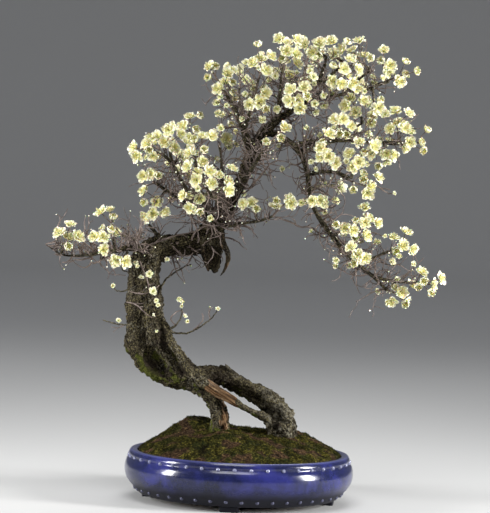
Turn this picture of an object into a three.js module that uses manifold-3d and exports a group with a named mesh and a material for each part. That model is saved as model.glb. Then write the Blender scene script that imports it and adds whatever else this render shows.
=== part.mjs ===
// Japanese apricot bonsai in bloom, in a round drum pot.
// Millimetres, +Z up, the front towards -Y. Places are about the pot's axis, with z = 0 under the
// feet; at the end the whole group moves so that the middle of its footprint is at the origin.

import * as THREE from 'three';
import { mergeVertices } from 'three/addons/utils/BufferGeometryUtils.js';
import Module from 'manifold-3d';

const wasm = await Module();
wasm.setup();

// Pot
const POT_WIDEST_RADIUS = 200;
const POT_RIM_RADIUS = 191;
const POT_MOUTH_RADIUS = 178;
const POT_BASE_RADIUS = 174;
const POT_HEIGHT = 86;
const POT_WALL = 9;
const POT_BELLY = [{ radius: 190, z: 28 }, { radius: POT_WIDEST_RADIUS, z: 48 }, { radius: 199, z: 64 }];
const POT_LIP_RADIUS = 188;
const POT_LIP_DROP = 2;
const POT_HOLLOW = { radius: 189, z: 56 };
const FOOT_HEIGHT = 10;
const FOOT_SUNK = 4;
const FOOT_LENGTH = 34;
const FOOT_WIDTH = 16;
const FOOT_RADIUS = 160;
const FOOT_TURN = -5;
const FOOT_COUNT = 4;
const POT_SECTORS = 43;
const STUD_RADIUS = 4.6;
const STUD_PROUD = 2.4;
const STUD_SUNK = 1.2;
const STUD_SIDES = 4;
const STUD_ROWS = [
  { z: 19, radius: 182, tilt: 41, shift: 0.25 },
  { z: 74, radius: 195, tilt: -21, shift: 0.75 },
];
const DRAIN_OFFSET = 70;
const DRAIN_RADIUS = 11;
const DRAIN_SIDES = 12;
const SCREEN_WIDTH = 34;
const SCREEN_THICK = 1;
const SCREEN_CELLS = 2;
const SCREEN_BAR = 2;
const SCREEN_WEFT_SHARE = 0.7;
const SCREEN_HEM = 0.5;

// Soil and moss
const GAP = 0.3;
const MOSS_THICK = 6;
const MOUND_EDGE = 85;
const MOUND_DOME = 38;
const MOUND_DOME_POWER = 0.8;
const MOUND_EDGE_POWER = 3;
const MOUND_SECTORS = 20;
const MOUND_RINGS = [40, 80, 120, 160];
const MOSS_LIP = 0.5;
const SOIL_EDGE_DROP = 2;
const SOIL_FLOOR_CLEAR = 2;
const SOIL_WALL_CLEAR = 3;
const EDGE_CLEAR = 1;
const HUMPS = [
  { x: -85, y: 60, rise: 27, spread: 52 },
  { x: 95, y: 45, rise: 11, spread: 45 },
  { x: -30, y: -70, rise: 6, spread: 40 },
  { x: 60, y: -60, rise: -5, spread: 45 },
];

// Wood
const TRUNK_SIDES = 9;
const STRAND_SIDES = 6;
const LIMB_SIDES = 4;
const SHOOT_SIDES = 3;
const FLUTE_DEPTH = 0.13;
const HOLE_CLEARANCE = 0.5;

// Flowering sprays
const SEED = 20417;
const TWIG_SIDES = 3;
const TWIG_ROOT_RADIUS = 2;
const TWIG_TIP_RADIUS = 1.5;
const STUB_SHARE = 0.3;
const STUB_ROOT_RADIUS = 2.6;
const STUB_SKIP = 3;
const END_BENDS = [0.5, 1];
const SIDE_BENDS = [0.62, 1];
const BULGE_LEAST = 0.14;
const BULGE_STEP = 0.05;
const BULGE_TURNS = 8;
const SPUR_RADIUS = 0.7;
const SPUR_SHORTEST = 6;
const SPUR_RANGE = 7;
const SPUR_STEPS = 4;
const CALYX_RADIUS = 1.9;
const CALYX_SIDES = 3;
const CALYX_HEIGHT = 2;
const BLOOM_SMALLEST = 10.6;
const BLOOM_LARGEST = 13.4;
const HALF_OPEN_RADIUS = 7;
const HALF_OPEN_SHARE = 0.3;
const HALF_OPEN_SHOULDER = 1;
const HALF_OPEN_CROWN = 3;
const PETAL_COUNT = 5;
const CUP_SHALLOWEST = 2.5;
const CUP_RANGE = 2.5;
const BLOOM_CLEAR = 0.6;
const NOTCH_SHARE = 0.72;
const NOTCH_RISE_SHARE = 0.55;
const INNER_SHARE = 0.5;
const INNER_RISE = 1.5;
const HEART_DROP = 1;
const SINGLE_SHARE = 0.96;
const END_SPUR = 1.5;
const SISTER_SPACING = 24;
const SLENDER_RADIUS = 8;
const DROP_COST = 8;
const END_GAIN = 6;
const WIDEST_TURN = 0.9;
const PATH_TRIES = 40;
const BLOOM_TRIES = 240;
const FIRST_BLOOM_SHARE = 0.12;
const BLOOM_SPAN_SHARE = 0.8;
const SHIFT_SHARE = 0.08;
const SHIFT_STEPS = 5;
const TRIES_A_SHIFT = 12;
const TWIG_END_SHARE = 0.08;
const FORWARD_LEAN = 0.6;
const OFF_TWIG_SHARE = 1.02;
const GOLDEN_ANGLE = 2.399963;

// Limbs as [x, y, z, radius] points from root to tip, grouped by the number of sides they need.
const BOLES = {
  trunk: [
    [-80, 5, 204, 22], [-106, 5, 217, 27], [-131, 5, 232, 33], [-153, 5, 252, 38], [-166, 5, 278, 38],
    [-170, 5, 306, 35], [-173, 5, 334, 31], [-177, 9, 380, 27], [-174, 14, 413, 26], [-160, 20, 432, 24],
    [-138, 26, 441, 21], [-112, 30, 444, 20], [-87, 28, 448, 21], [-66, 24, 463, 22], [-53, 20, 485, 18],
    [-33, 15, 523, 14.5], [-12, 12, 565, 12], [2, 12, 605, 10.5], [21, 14, 644, 9], [69, 14, 686, 7],
  ],
};

const STRANDS = {
  left_leg: [
    [-88, 0, 208, 20], [-62, -10, 190, 17], [-46, -18, 170, 16], [-38, -22, 148, 17], [-37, -24, 128, 20],
    [-37, -24, 100, 22], [-37, -22, 60, 12],
  ],
  dead_strand: [
    [-98, -12, 212, 13], [-68, -26, 205, 10.5], [-45, -34, 193, 9.5], [-23, -38, 182, 8.5],
    [0, -38, 169, 7], [19, -32, 159, 6], [37, -26, 152, 9], [55, -18, 140, 13], [68, -10, 120, 18],
  ],
  bark_strand: [
    [-92, 14, 213, 20], [-60, 30, 213, 20], [-30, 36, 210, 18], [-3, 36, 197, 17], [22, 32, 186, 18],
    [45, 26, 175, 21], [63, 18, 159, 23], [73, 10, 139, 24], [75, 4, 119, 28], [76, 2, 96, 27],
    [76, 2, 55, 14],
  ],
  bark_spike: [[-8, 34, 200, 10], [-22, 32, 223, 5], [-31, 32, 235, 1.5]],
  stump_core: [[-64, 24, 460, 20], [-60, 20, 435, 17], [-57, 18, 415, 13], [-55, 18, 401, 7]],
  stump_left: [[-75, 16, 460, 8], [-77, 12, 435, 6], [-71, 10, 414, 5], [-67, 12, 399, 2]],
  stump_right: [[-51, 14, 468, 8], [-41, 8, 445, 6], [-33, 4, 425, 5], [-38, 4, 403, 3], [-45, 6, 392, 1.5]],
};

const LIMBS = {
  leader: [[69, 14, 686, 7], [92, 10, 707, 5.5], [110, 6, 732, 4.5], [121, 2, 760, 3.5], [125, 0, 780, 2.6]],
  low_left: [
    [-166, 10, 425, 12], [-185, -8, 433, 10], [-205, -22, 435, 8.5], [-229, -34, 429, 7],
    [-252, -44, 425, 5.5], [-276, -52, 421, 4.5], [-298, -56, 419, 3.3], [-321, -58, 421, 2.3],
    [-347, -60, 437, 1.5],
  ],
  low_left_back: [[-175, 20, 417, 8], [-193, 56, 440, 6], [-216, 88, 452, 5], [-242, 112, 452, 3.5]],
  mid_left: [
    [-53, 16, 485, 8.5], [-74, 4, 498, 7], [-96, -8, 512, 6], [-120, -20, 525, 5], [-145, -30, 538, 4],
    [-166, -38, 551, 3],
  ],
  mid_left_high: [
    [-85, -2, 507, 6], [-103, -20, 531, 4.5], [-119, -34, 556, 4], [-134, -44, 583, 3], [-152, -52, 600, 2.6],
  ],
  mid_left_rise: [
    [-71, 6, 499, 6], [-81, 14, 526, 4.5], [-91, 18, 557, 4], [-97, 20, 588, 3], [-105, 20, 620, 2.6],
  ],
  mid_left_inner: [
    [-47, 18, 499, 6.5], [-48, 34, 531, 5], [-49, 44, 566, 4.5], [-52, 50, 597, 3], [-56, 54, 618, 2.6],
  ],
  mid_left_back: [[-59, 30, 488, 7], [-76, 64, 515, 6], [-97, 98, 538, 4.5], [-114, 124, 562, 3]],
  mid_left_front: [[-46, 8, 498, 6], [-54, -34, 521, 4.5], [-68, -68, 538, 3.5], [-80, -90, 556, 3]],
  crown_left: [
    [2, 10, 606, 8], [-9, 0, 630, 6.5], [-19, -12, 657, 5.5], [-32, -24, 684, 4.5], [-47, -34, 707, 3],
  ],
  crown_left_front: [[-15, -8, 647, 4.5], [-4, -34, 678, 4], [2, -54, 706, 3], [8, -66, 734, 2.6]],
  crown_left_back: [
    [5, 16, 613, 6.5], [-8, 50, 641, 5.5], [-18, 80, 669, 4.5], [-24, 96, 700, 3], [-25, 98, 725, 2.6],
  ],
  crown_mid: [[43, 16, 665, 6], [46, 0, 695, 4.5], [47, -16, 726, 3.5], [49, -28, 757, 2.6]],
  crown_mid_up: [[69, 14, 686, 5], [79, 34, 714, 4.5], [87, 56, 743, 3.5], [92, 72, 765, 2.6]],
  crown_mid_front: [[69, 10, 685, 5], [82, -32, 699, 4.5], [95, -74, 716, 3.5], [106, -106, 734, 2.6]],
  crown_mid_back: [[69, 18, 686, 5], [76, 64, 704, 4.5], [88, 108, 730, 3.5], [106, 142, 756, 2.6]],
  crown_right: [
    [82, 12, 698, 5.5], [113, 6, 705, 4.5], [144, 0, 713, 4], [175, -6, 721, 3.5], [206, -12, 730, 2.6],
    [234, -14, 740, 2.6],
  ],
  crown_right_up: [[110, 6, 732, 3.5], [136, 14, 751, 3], [158, 20, 772, 2.6]],
  crown_right_front: [[160, -3, 717, 3.5], [181, -18, 741, 2.6], [201, -30, 759, 2.6]],
  crown_right_back: [[113, 10, 705, 4.5], [142, 56, 721, 3.5], [168, 98, 737, 3]],
  cascade: [
    [21, 14, 644, 8], [50, 6, 638, 7.6], [74, -4, 623, 7.2], [91, -12, 601, 6.8], [99, -18, 575, 6.4],
    [103, -22, 547, 6], [111, -24, 520, 5.6], [126, -26, 495, 5.4], [146, -28, 469, 5.2], [169, -30, 444, 4.8],
    [195, -32, 421, 4.3], [221, -34, 401, 3.8], [243, -28, 380, 3.2],
  ],
  cascade_tip: [[221, -34, 401, 3.4], [252, -44, 396, 3], [284, -50, 394, 2.6]],
  cascade_mid: [[195, -32, 421, 3.8], [221, -18, 434, 3.2], [244, -6, 445, 2.6]],
  cascade_back: [[170, -26, 444, 4.2], [183, 14, 454, 3.6], [204, 46, 460, 3]],
  right_pad: [
    [74, -4, 623, 6], [105, -18, 631, 5], [136, -32, 634, 4.5], [167, -44, 635, 3.5], [197, -52, 634, 3],
    [228, -58, 635, 2.6], [256, -60, 636, 2.6],
  ],
  right_pad_up: [[136, -30, 634, 3.5], [163, -28, 650, 3], [192, -26, 667, 2.6]],
  right_pad_back: [[85, -6, 613, 6], [114, 40, 621, 4.5], [143, 84, 633, 3.5], [176, 122, 642, 3]],
  right_low: [[99, -18, 575, 5], [124, -36, 580, 4], [151, -54, 579, 3.5], [174, -68, 571, 2.6]],
  right_low_back: [[103, -20, 547, 5], [128, 20, 555, 4], [152, 60, 556, 3.5]],
  mid_low: [
    [-53, 12, 485, 5], [-32, -6, 480, 4.5], [-7, -20, 486, 3.5], [17, -32, 490, 3], [42, -42, 500, 2.6],
  ],
  inner_front: [[-12, 6, 565, 6], [3, -34, 582, 4.5], [14, -68, 600, 3.5], [22, -92, 613, 3]],
  inner_back: [[-12, 16, 565, 6], [5, 56, 595, 4.5], [24, 88, 635, 3.5], [42, 108, 675, 3]],
};

const BARE_SHOOTS = {
  low_mid: [[-144, 20, 445, 7], [-162, 10, 463, 5], [-174, 2, 478, 3.6]],
  right_arc: [
    [-139, -18, 298, 3.5], [-118, -24, 290, 2.8], [-94, -28, 293, 2.4], [-70, -30, 308, 2],
    [-55, -30, 321, 1.7], [-47, -30, 335, 1.4],
  ],
  right_up: [[-132, -18, 295, 3], [-119, -26, 304, 2.4], [-110, -30, 319, 2], [-109, -32, 336, 1.6]],
  back_arc: [
    [-152, 0, 345, 3.5], [-147, 14, 369, 2.8], [-134, 22, 387, 2.4], [-115, 28, 400, 1.9],
    [-98, 32, 409, 1.4],
  ],
  left_high: [[-188, -10, 369, 2.8], [-211, -22, 360, 2.2], [-223, -28, 360, 1.8], [-230, -30, 368, 1.4]],
  left_low: [[-185, -12, 306, 2.8], [-209, -26, 301, 2.2], [-228, -34, 304, 1.8], [-245, -38, 309, 1.4]],
  hook: [
    [-207, -24, 428, 2.8], [-216, -34, 411, 2.2], [-214, -38, 397, 2], [-198, -40, 394, 1.7],
    [-189, -42, 403, 1.4],
  ],
};

// Tips of the flowering sprays as [x, y, z, blooms].
const SPRAY_TIPS = [
  [-75, -45, 750, 5], [-48, -25, 725, 7], [10, -75, 765, 7], [52, 20, 750, 7], [55, -40, 795, 6],
  [103, -15, 785, 7], [138, 45, 790, 6], [172, -10, 789, 6], [218, -50, 772, 7], [258, -15, 752, 7],
  [155, -86, 745, 8], [168, -52, 705, 8], [142, -100, 668, 6], [78, -110, 700, 7], [10, -75, 695, 7],
  [55, -105, 650, 3], [122, -115, 626, 6], [208, -15, 685, 6], [250, -80, 665, 6], [288, -55, 636, 6],
  [190, -110, 612, 7], [235, -25, 605, 7], [205, -80, 558, 6], [160, 65, 545, 4], [122, -75, 530, 5],
  [68, -62, 528, 4], [5, -45, 518, 3], [165, -70, 483, 5], [206, -50, 500, 7], [190, -82, 438, 6],
  [270, 5, 458, 6], [275, -15, 362, 7], [320, -50, 392, 8], [-198, -70, 608, 5], [-165, -15, 615, 5],
  [-137, -75, 642, 6], [-118, -45, 608, 6], [-109, 15, 664, 5], [-85, -85, 628, 6], [-55, 45, 645, 6],
  [-170, -50, 562, 6], [-88, -115, 568, 5], [-40, -75, 555, 4], [-98, -68, 512, 4], [-175, -15, 494, 6],
  [-242, 5, 494, 5], [-308, -72, 448, 6], [-248, -85, 452, 6], [-226, -74, 414, 3],
  [-25, 95, 752, 5], [95, 85, 785, 5], [185, 120, 745, 5], [208, 150, 648, 5], [-125, 142, 598, 5],
];

const POT_GLAZE = new THREE.MeshStandardMaterial({ color: 0x23309a, roughness: 0.12, metalness: 0 });
const SOIL_BROWN = new THREE.MeshStandardMaterial({ color: 0x4a3626, roughness: 0.95, metalness: 0 });
const MOSS_GREEN = new THREE.MeshStandardMaterial({ color: 0x6d7a2e, roughness: 0.95, metalness: 0 });
const BARK = new THREE.MeshStandardMaterial({ color: 0x4b4238, roughness: 0.9, metalness: 0 });
const MESH_PLASTIC = new THREE.MeshStandardMaterial({ color: 0x1d1f1e, roughness: 0.6, metalness: 0 });
const PETALS = new THREE.MeshStandardMaterial({ color: 0xeef0cf, roughness: 0.6, metalness: 0 });

// The ways that the blooms lean: to the front and up, or to the back on the sprays behind.
const FRONT_FACING = new THREE.Vector3(0, -1.4, 0.35);
const BACK_FACING = new THREE.Vector3(0, 0.9, 0.35);
const BACK_FROM = 60;
const END_FACING_SHARE = 0.5;

const degrees = (angle) => angle * Math.PI / 180;
const vector = ([x, y, z]) => new THREE.Vector3(x, y, z);

// Seeded draw between 0 and 1.
let drawState = SEED;
function draw() {
  drawState = (drawState * 48271) % 2147483647;
  return drawState / 2147483647;
}

function toSolid(geometry) {
  const bare = geometry.clone();
  bare.deleteAttribute('normal');
  bare.deleteAttribute('uv');
  const welded = mergeVertices(bare, 1e-4);
  return new wasm.Manifold(new wasm.Mesh({
    numProp: 3,
    vertProperties: new Float32Array(welded.attributes.position.array),
    triVerts: new Uint32Array(welded.index.array),
  }));
}

function toMesh(name, solid, material) {
  const { vertProperties, triVerts } = solid.getMesh();
  const geometry = new THREE.BufferGeometry();
  geometry.setAttribute('position', new THREE.BufferAttribute(vertProperties, 3));
  geometry.setIndex(new THREE.BufferAttribute(triVerts, 1));
  geometry.computeVertexNormals();
  const mesh = new THREE.Mesh(geometry, material);
  mesh.name = name;
  return mesh;
}

const join = (solids) => solids.reduce((whole, piece) => whole.add(piece));

// Skins a row of rings, which may differ in their number of points. Each end is a flat face, or
// comes to a point where an apex is given. leadWithUpper turns the diagonals the other way, so that
// two skins over the same rings, taken in opposite orders, are split alike.
function loft(rings, { first = null, last = null, leadWithUpper = false } = {}) {
  const positions = [];
  const triangles = [];
  const starts = rings.map((ring) => {
    const start = positions.length / 3;
    ring.forEach((point) => positions.push(point.x, point.y, point.z));
    return start;
  });
  const addPoint = (point) => positions.push(point.x, point.y, point.z) / 3 - 1;
  for (let i = 0; i + 1 < rings.length; i += 1) {
    const [lower, upper] = [rings[i].length, rings[i + 1].length];
    let a = 0;
    let b = 0;
    while (a < lower || b < upper) {
      const here = starts[i] + a % lower;
      const above = starts[i + 1] + b % upper;
      const lead = (b + 1) / upper - (a + 1) / lower;
      const isTied = Math.abs(lead) < 1e-9;
      const stepLower = b >= upper || (a < lower && (isTied ? !leadWithUpper : lead > 0));
      if (stepLower) {
        a += 1;
        triangles.push(here, starts[i] + a % lower, above);
      } else {
        b += 1;
        triangles.push(here, starts[i + 1] + b % upper, above);
      }
    }
  }
  const close = (start, count, apex, flip) => {
    const tip = apex ? addPoint(apex) : start;
    for (let k = apex ? 0 : 1; k < (apex ? count : count - 1); k += 1) {
      const edge = [start + k, start + (k + 1) % count];
      triangles.push(tip, ...(flip ? edge.reverse() : edge));
    }
  };
  close(starts[0], rings[0].length, first, true);
  close(starts.at(-1), rings.at(-1).length, last, false);
  const geometry = new THREE.BufferGeometry();
  geometry.setAttribute('position', new THREE.Float32BufferAttribute(positions, 3));
  geometry.setIndex(triangles);
  return toSolid(geometry);
}

// Ring of points about an axis. reach gives each point's distance out and its rise along the axis.
function ringAbout(centre, axis, side, count, reach) {
  const across = new THREE.Vector3().crossVectors(axis, side);
  return Array.from({ length: count }, (_, k) => {
    const angle = 2 * Math.PI * k / count;
    const { out, rise = 0 } = reach(k, angle);
    return centre.clone()
      .addScaledVector(side, out * Math.cos(angle))
      .addScaledVector(across, out * Math.sin(angle))
      .addScaledVector(axis, rise);
  });
}

function squareTo(axis) {
  const reference = Math.abs(axis.z) < 0.9 ? new THREE.Vector3(0, 0, 1) : new THREE.Vector3(1, 0, 0);
  return new THREE.Vector3().crossVectors(axis, reference).normalize();
}

// Tapered limb through points with a radius each. Its rings turn with the path, without twist.
function limb(points, sides, { grow = 0, flute = 0 } = {}) {
  const places = points.map(vector);
  let side = null;
  const rings = places.map((place, i) => {
    const before = places[Math.max(i - 1, 0)];
    const after = places[Math.min(i + 1, places.length - 1)];
    const axis = after.clone().sub(before).normalize();
    side = side ?? squareTo(axis);
    side = side.clone().addScaledVector(axis, -side.dot(axis)).normalize();
    const radius = points[i][3] + grow;
    return ringAbout(place, axis, side, sides, (k, angle) => ({
      out: radius * (1 + flute * (Math.sin(3 * angle + 0.5 * i) + 0.6 * Math.sin(5 * angle - 0.8 * i))),
    }));
  });
  return loft(rings);
}

// Pot: a drum turned on its axis, with feet, studs and drain holes.
function makePot() {
  const outer = [
    [POT_BASE_RADIUS, FOOT_HEIGHT],
    ...POT_BELLY.map(({ radius, z }) => [radius, z]),
    [POT_RIM_RADIUS, POT_HEIGHT - POT_LIP_DROP],
    [POT_LIP_RADIUS, POT_HEIGHT],
  ];
  const inner = [
    [POT_MOUTH_RADIUS, POT_HEIGHT - POT_LIP_DROP / 2],
    [POT_HOLLOW.radius, POT_HOLLOW.z],
    [POT_BASE_RADIUS - POT_WALL, FOOT_HEIGHT + POT_WALL],
  ];
  const profile = [[0, FOOT_HEIGHT], ...outer, ...inner, [0, FOOT_HEIGHT + POT_WALL]];
  const turned = new THREE.LatheGeometry(profile.map(([r, z]) => new THREE.Vector2(r, z)), POT_SECTORS);
  turned.rotateX(Math.PI / 2);
  let pot = toSolid(turned);
  for (const { z, radius, tilt, shift } of STUD_ROWS) {
    for (let k = 0; k < POT_SECTORS; k += 1) {
      const stud = new THREE.ConeGeometry(STUD_RADIUS, STUD_PROUD + STUD_SUNK, STUD_SIDES);
      stud.rotateZ(-Math.PI / 2);
      stud.translate((STUD_PROUD - STUD_SUNK) / 2, 0, 0);
      stud.rotateY(degrees(tilt));
      stud.translate(radius, 0, z);
      stud.rotateZ(2 * Math.PI * (k + shift) / POT_SECTORS - Math.PI / 2);
      pot = pot.add(toSolid(stud));
    }
  }
  for (let k = 0; k < FOOT_COUNT; k += 1) {
    const foot = new THREE.BoxGeometry(FOOT_WIDTH, FOOT_LENGTH, FOOT_HEIGHT + FOOT_SUNK);
    foot.translate(FOOT_RADIUS, 0, (FOOT_HEIGHT + FOOT_SUNK) / 2);
    foot.rotateZ(degrees(FOOT_TURN - 90) + 2 * Math.PI * k / FOOT_COUNT);
    pot = pot.add(toSolid(foot));
  }
  for (const side of [-1, 1]) {
    const drain = new THREE.CylinderGeometry(DRAIN_RADIUS, DRAIN_RADIUS, 1.5 * POT_WALL, DRAIN_SIDES);
    drain.rotateX(Math.PI / 2);
    drain.translate(side * DRAIN_OFFSET, 0, FOOT_HEIGHT + POT_WALL / 2);
    pot = pot.subtract(toSolid(drain));
  }
  return pot;
}

// Square of mesh that keeps the soil in over a drain hole: thinner bars across thicker ones.
function makeScreen(side) {
  const pitch = (SCREEN_WIDTH - SCREEN_BAR) / SCREEN_CELLS;
  const floor = FOOT_HEIGHT + POT_WALL + GAP;
  const bars = [];
  for (let i = 0; i <= SCREEN_CELLS; i += 1) {
    const offset = (i - SCREEN_CELLS / 2) * pitch;
    const warp = new THREE.BoxGeometry(SCREEN_BAR, SCREEN_WIDTH, SCREEN_THICK);
    warp.translate(side * DRAIN_OFFSET + offset, 0, floor + SCREEN_THICK / 2);
    const weft = new THREE.BoxGeometry(
      SCREEN_WIDTH - 2 * SCREEN_HEM,
      SCREEN_BAR,
      SCREEN_THICK * SCREEN_WEFT_SHARE,
    );
    weft.translate(side * DRAIN_OFFSET, offset, floor + SCREEN_THICK / 2);
    bars.push(toSolid(warp), toSolid(weft));
  }
  return join(bars);
}

// Height of the mossy mound.
function moundHeight(x, y) {
  const share = Math.min(1, (x * x + y * y) / POT_MOUTH_RADIUS ** 2);
  const dome = MOUND_DOME * (1 - share) ** MOUND_DOME_POWER;
  const edgeFade = 1 - share ** MOUND_EDGE_POWER;
  const humps = HUMPS.map((hump) => {
    const distance = Math.hypot(x - hump.x, y - hump.y) / hump.spread;
    return hump.rise * Math.exp(-distance * distance);
  });
  return MOUND_EDGE + dome + edgeFade * humps.reduce((sum, rise) => sum + rise, 0);
}

// Turned body whose rings have either a fixed height or a depth below the mound's surface.
function turnedBody(bottomZ, rings, topDepth, leadWithUpper = false) {
  const centre = new THREE.Vector3();
  const up = new THREE.Vector3(0, 0, 1);
  const side = new THREE.Vector3(1, 0, 0);
  const loops = rings.map(({ radius, z, depth }) => {
    const surface = (angle) => moundHeight(radius * Math.cos(angle), radius * Math.sin(angle));
    const reach = (k, angle) => ({ out: radius, rise: z ?? surface(angle) - depth });
    return ringAbout(centre, up, side, MOUND_SECTORS, reach);
  });
  const first = new THREE.Vector3(0, 0, bottomZ ?? moundHeight(0, 0) - MOSS_THICK);
  const last = new THREE.Vector3(0, 0, moundHeight(0, 0) - topDepth);
  return loft(loops, { first, last, leadWithUpper });
}

function cutRootHoles(body, roots) {
  return roots.reduce((rest, root) => rest.subtract(root), body);
}

function makeSoil(roots) {
  const floor = FOOT_HEIGHT + POT_WALL + GAP;
  const wall = [
    { radius: POT_BASE_RADIUS - POT_WALL - SOIL_FLOOR_CLEAR, z: floor },
    { radius: POT_HOLLOW.radius - SOIL_WALL_CLEAR, z: POT_HOLLOW.z },
    { radius: POT_MOUTH_RADIUS - EDGE_CLEAR, z: MOUND_EDGE - MOSS_THICK - SOIL_EDGE_DROP },
  ];
  const top = MOUND_RINGS.toReversed().map((radius) => ({ radius, depth: MOSS_THICK + GAP }));
  let soil = turnedBody(floor, [...wall, ...top], MOSS_THICK + GAP);
  for (const side of [-1, 1]) {
    const width = SCREEN_WIDTH + 2 * GAP;
    const pocket = new THREE.BoxGeometry(width, width, SCREEN_THICK + 2 * GAP);
    pocket.translate(side * DRAIN_OFFSET, 0, floor + SCREEN_THICK / 2);
    soil = soil.subtract(toSolid(pocket));
  }
  return cutRootHoles(soil, roots);
}

function makeMoss(roots) {
  const edge = POT_MOUTH_RADIUS - EDGE_CLEAR;
  const edgeTop = MOUND_EDGE - MOSS_LIP;
  const bottom = MOUND_RINGS.map((radius) => ({ radius, depth: MOSS_THICK }));
  const rim = [{ radius: edge, z: edgeTop - MOSS_THICK }, { radius: edge, z: edgeTop }];
  const top = MOUND_RINGS.toReversed().map((radius) => ({ radius, depth: 0 }));
  return cutRootHoles(turnedBody(null, [...bottom, ...rim, ...top], 0, true), roots);
}

// Solids as straight capsules, for keeping the sprays clear of the wood and of each other.
const capsules = [];

function segmentDistance(p, q, r, s) {
  const d1 = q.clone().sub(p);
  const d2 = s.clone().sub(r);
  const w = p.clone().sub(r);
  const a = d1.lengthSq();
  const e = d2.lengthSq();
  const f = d2.dot(w);
  const c = d1.dot(w);
  const b = d1.dot(d2);
  const clamp = THREE.MathUtils.clamp;
  let u = 0;
  if (a > 1e-9 && e > 1e-9 && a * e - b * b > 1e-9) u = clamp((b * f - c * e) / (a * e - b * b), 0, 1);
  let v = e > 1e-9 ? clamp((b * u + f) / e, 0, 1) : 0;
  if (a > 1e-9) u = clamp((b * v - c) / a, 0, 1);
  return p.clone().addScaledVector(d1, u).distanceTo(r.clone().addScaledVector(d2, v));
}

function addCapsules(points, owner, name) {
  for (let i = 0; i + 1 < points.length; i += 1) {
    capsules.push({
      from: vector(points[i]),
      to: vector(points[i + 1]),
      radius: Math.max(points[i][3], points[i + 1][3]),
      owner,
      name,
    });
  }
}

function isClear(from, to, radius, owner, parent = null) {
  return capsules.every((other) => other.owner === owner || (parent && other.name === parent)
    || segmentDistance(from, to, other.from, other.to) > radius + other.radius + BLOOM_CLEAR);
}

// Place on a slender limb that a spray's tip is best reached from. The first spray to choose a
// limb's own end carries on from it, if it lies ahead.
const takenEnds = new Set();
function nearestLimbPlace(tip) {
  let best = { distance: Infinity };
  for (const [name, points] of Object.entries(LIMBS)) {
    for (let i = 1; i < points.length; i += 1) {
      const place = vector(points[i]);
      const before = vector(points[i - 1]);
      const isLast = i === points.length - 1;
      const isAhead = place.clone().sub(before).angleTo(tip.clone().sub(place)) < WIDEST_TURN;
      const isEnd = isLast && isAhead;
      const distance = place.distanceTo(tip) + (place.z > tip.z ? DROP_COST : 0) - (isEnd ? END_GAIN : 0);
      const isOpen = points[i][3] < SLENDER_RADIUS && !(isLast && takenEnds.has(name));
      if (isOpen && distance < best.distance) {
        best = { distance, place, before, radius: points[i][3], isEnd, isLast, name };
      }
    }
  }
  if (best.isLast) takenEnds.add(best.name);
  return best;
}

// Path of a spray: a stub on the limb, or the limb's own end, then a twig that bends to its tip.
function sprayPath(tip, owner) {
  const { place, radius, isEnd, before, name } = nearestLimbPlace(tip);
  const span = tip.clone().sub(place);
  const length = span.length();
  const turn = 2 * Math.PI * draw();
  const along = span.clone().normalize();
  const side = squareTo(along);
  const across = new THREE.Vector3().crossVectors(along, side);
  const bends = isEnd ? END_BENDS : SIDE_BENDS;
  for (let attempt = 0; attempt < PATH_TRIES; attempt += 1) {
    const bulge = length * (BULGE_LEAST + BULGE_STEP * Math.floor(attempt / BULGE_TURNS));
    const angle = turn + attempt * 2 * Math.PI / BULGE_TURNS;
    const bend = place.clone().addScaledVector(span, 0.5)
      .addScaledVector(side, bulge * Math.cos(angle))
      .addScaledVector(across, bulge * Math.sin(angle));
    const curve = new THREE.QuadraticBezierCurve3(place, bend, tip);
    const seat = isEnd ? place : curve.getPoint(STUB_SHARE);
    const heading = seat.clone().sub(isEnd ? before : place).normalize();
    const first = seat.clone().addScaledVector(heading, GAP);
    const twig = [first, ...bends.map((share) => curve.getPoint(share))];
    const launch = first.clone().addScaledVector(heading, isEnd ? 0 : STUB_SKIP);
    const starts = [launch, ...twig.slice(1, -1)];
    const parent = isEnd ? name : null;
    const isStubClear = isEnd || isClear(place, seat, STUB_ROOT_RADIUS, 'tree');
    const isTwigClear = starts.every((from, i) => (
      isClear(from, twig[i + 1], TWIG_ROOT_RADIUS, owner, parent)));
    if (isStubClear && isTwigClear) {
      return { place, radius, seat, heading, twig, isEnd };
    }
  }
  throw new Error(`no clear path for ${owner}`);
}

// Three-sided rings along a spray's twig, from its seat to its tip.
function twigRings({ twig, heading, isEnd, radius }) {
  const last = twig.length - 1;
  let side = squareTo(heading);
  return twig.map((point, i) => {
    const chord = twig[Math.min(i + 1, last)].clone().sub(twig[Math.max(i - 1, 0)]);
    const axis = i === 0 ? heading : chord.normalize();
    side = side.clone().addScaledVector(axis, -side.dot(axis)).normalize();
    const taper = THREE.MathUtils.lerp(TWIG_ROOT_RADIUS, TWIG_TIP_RADIUS, i / last);
    return ringAbout(point, axis, side, TWIG_SIDES, () => ({ out: i === 0 && isEnd ? radius : taper }));
  });
}

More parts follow.
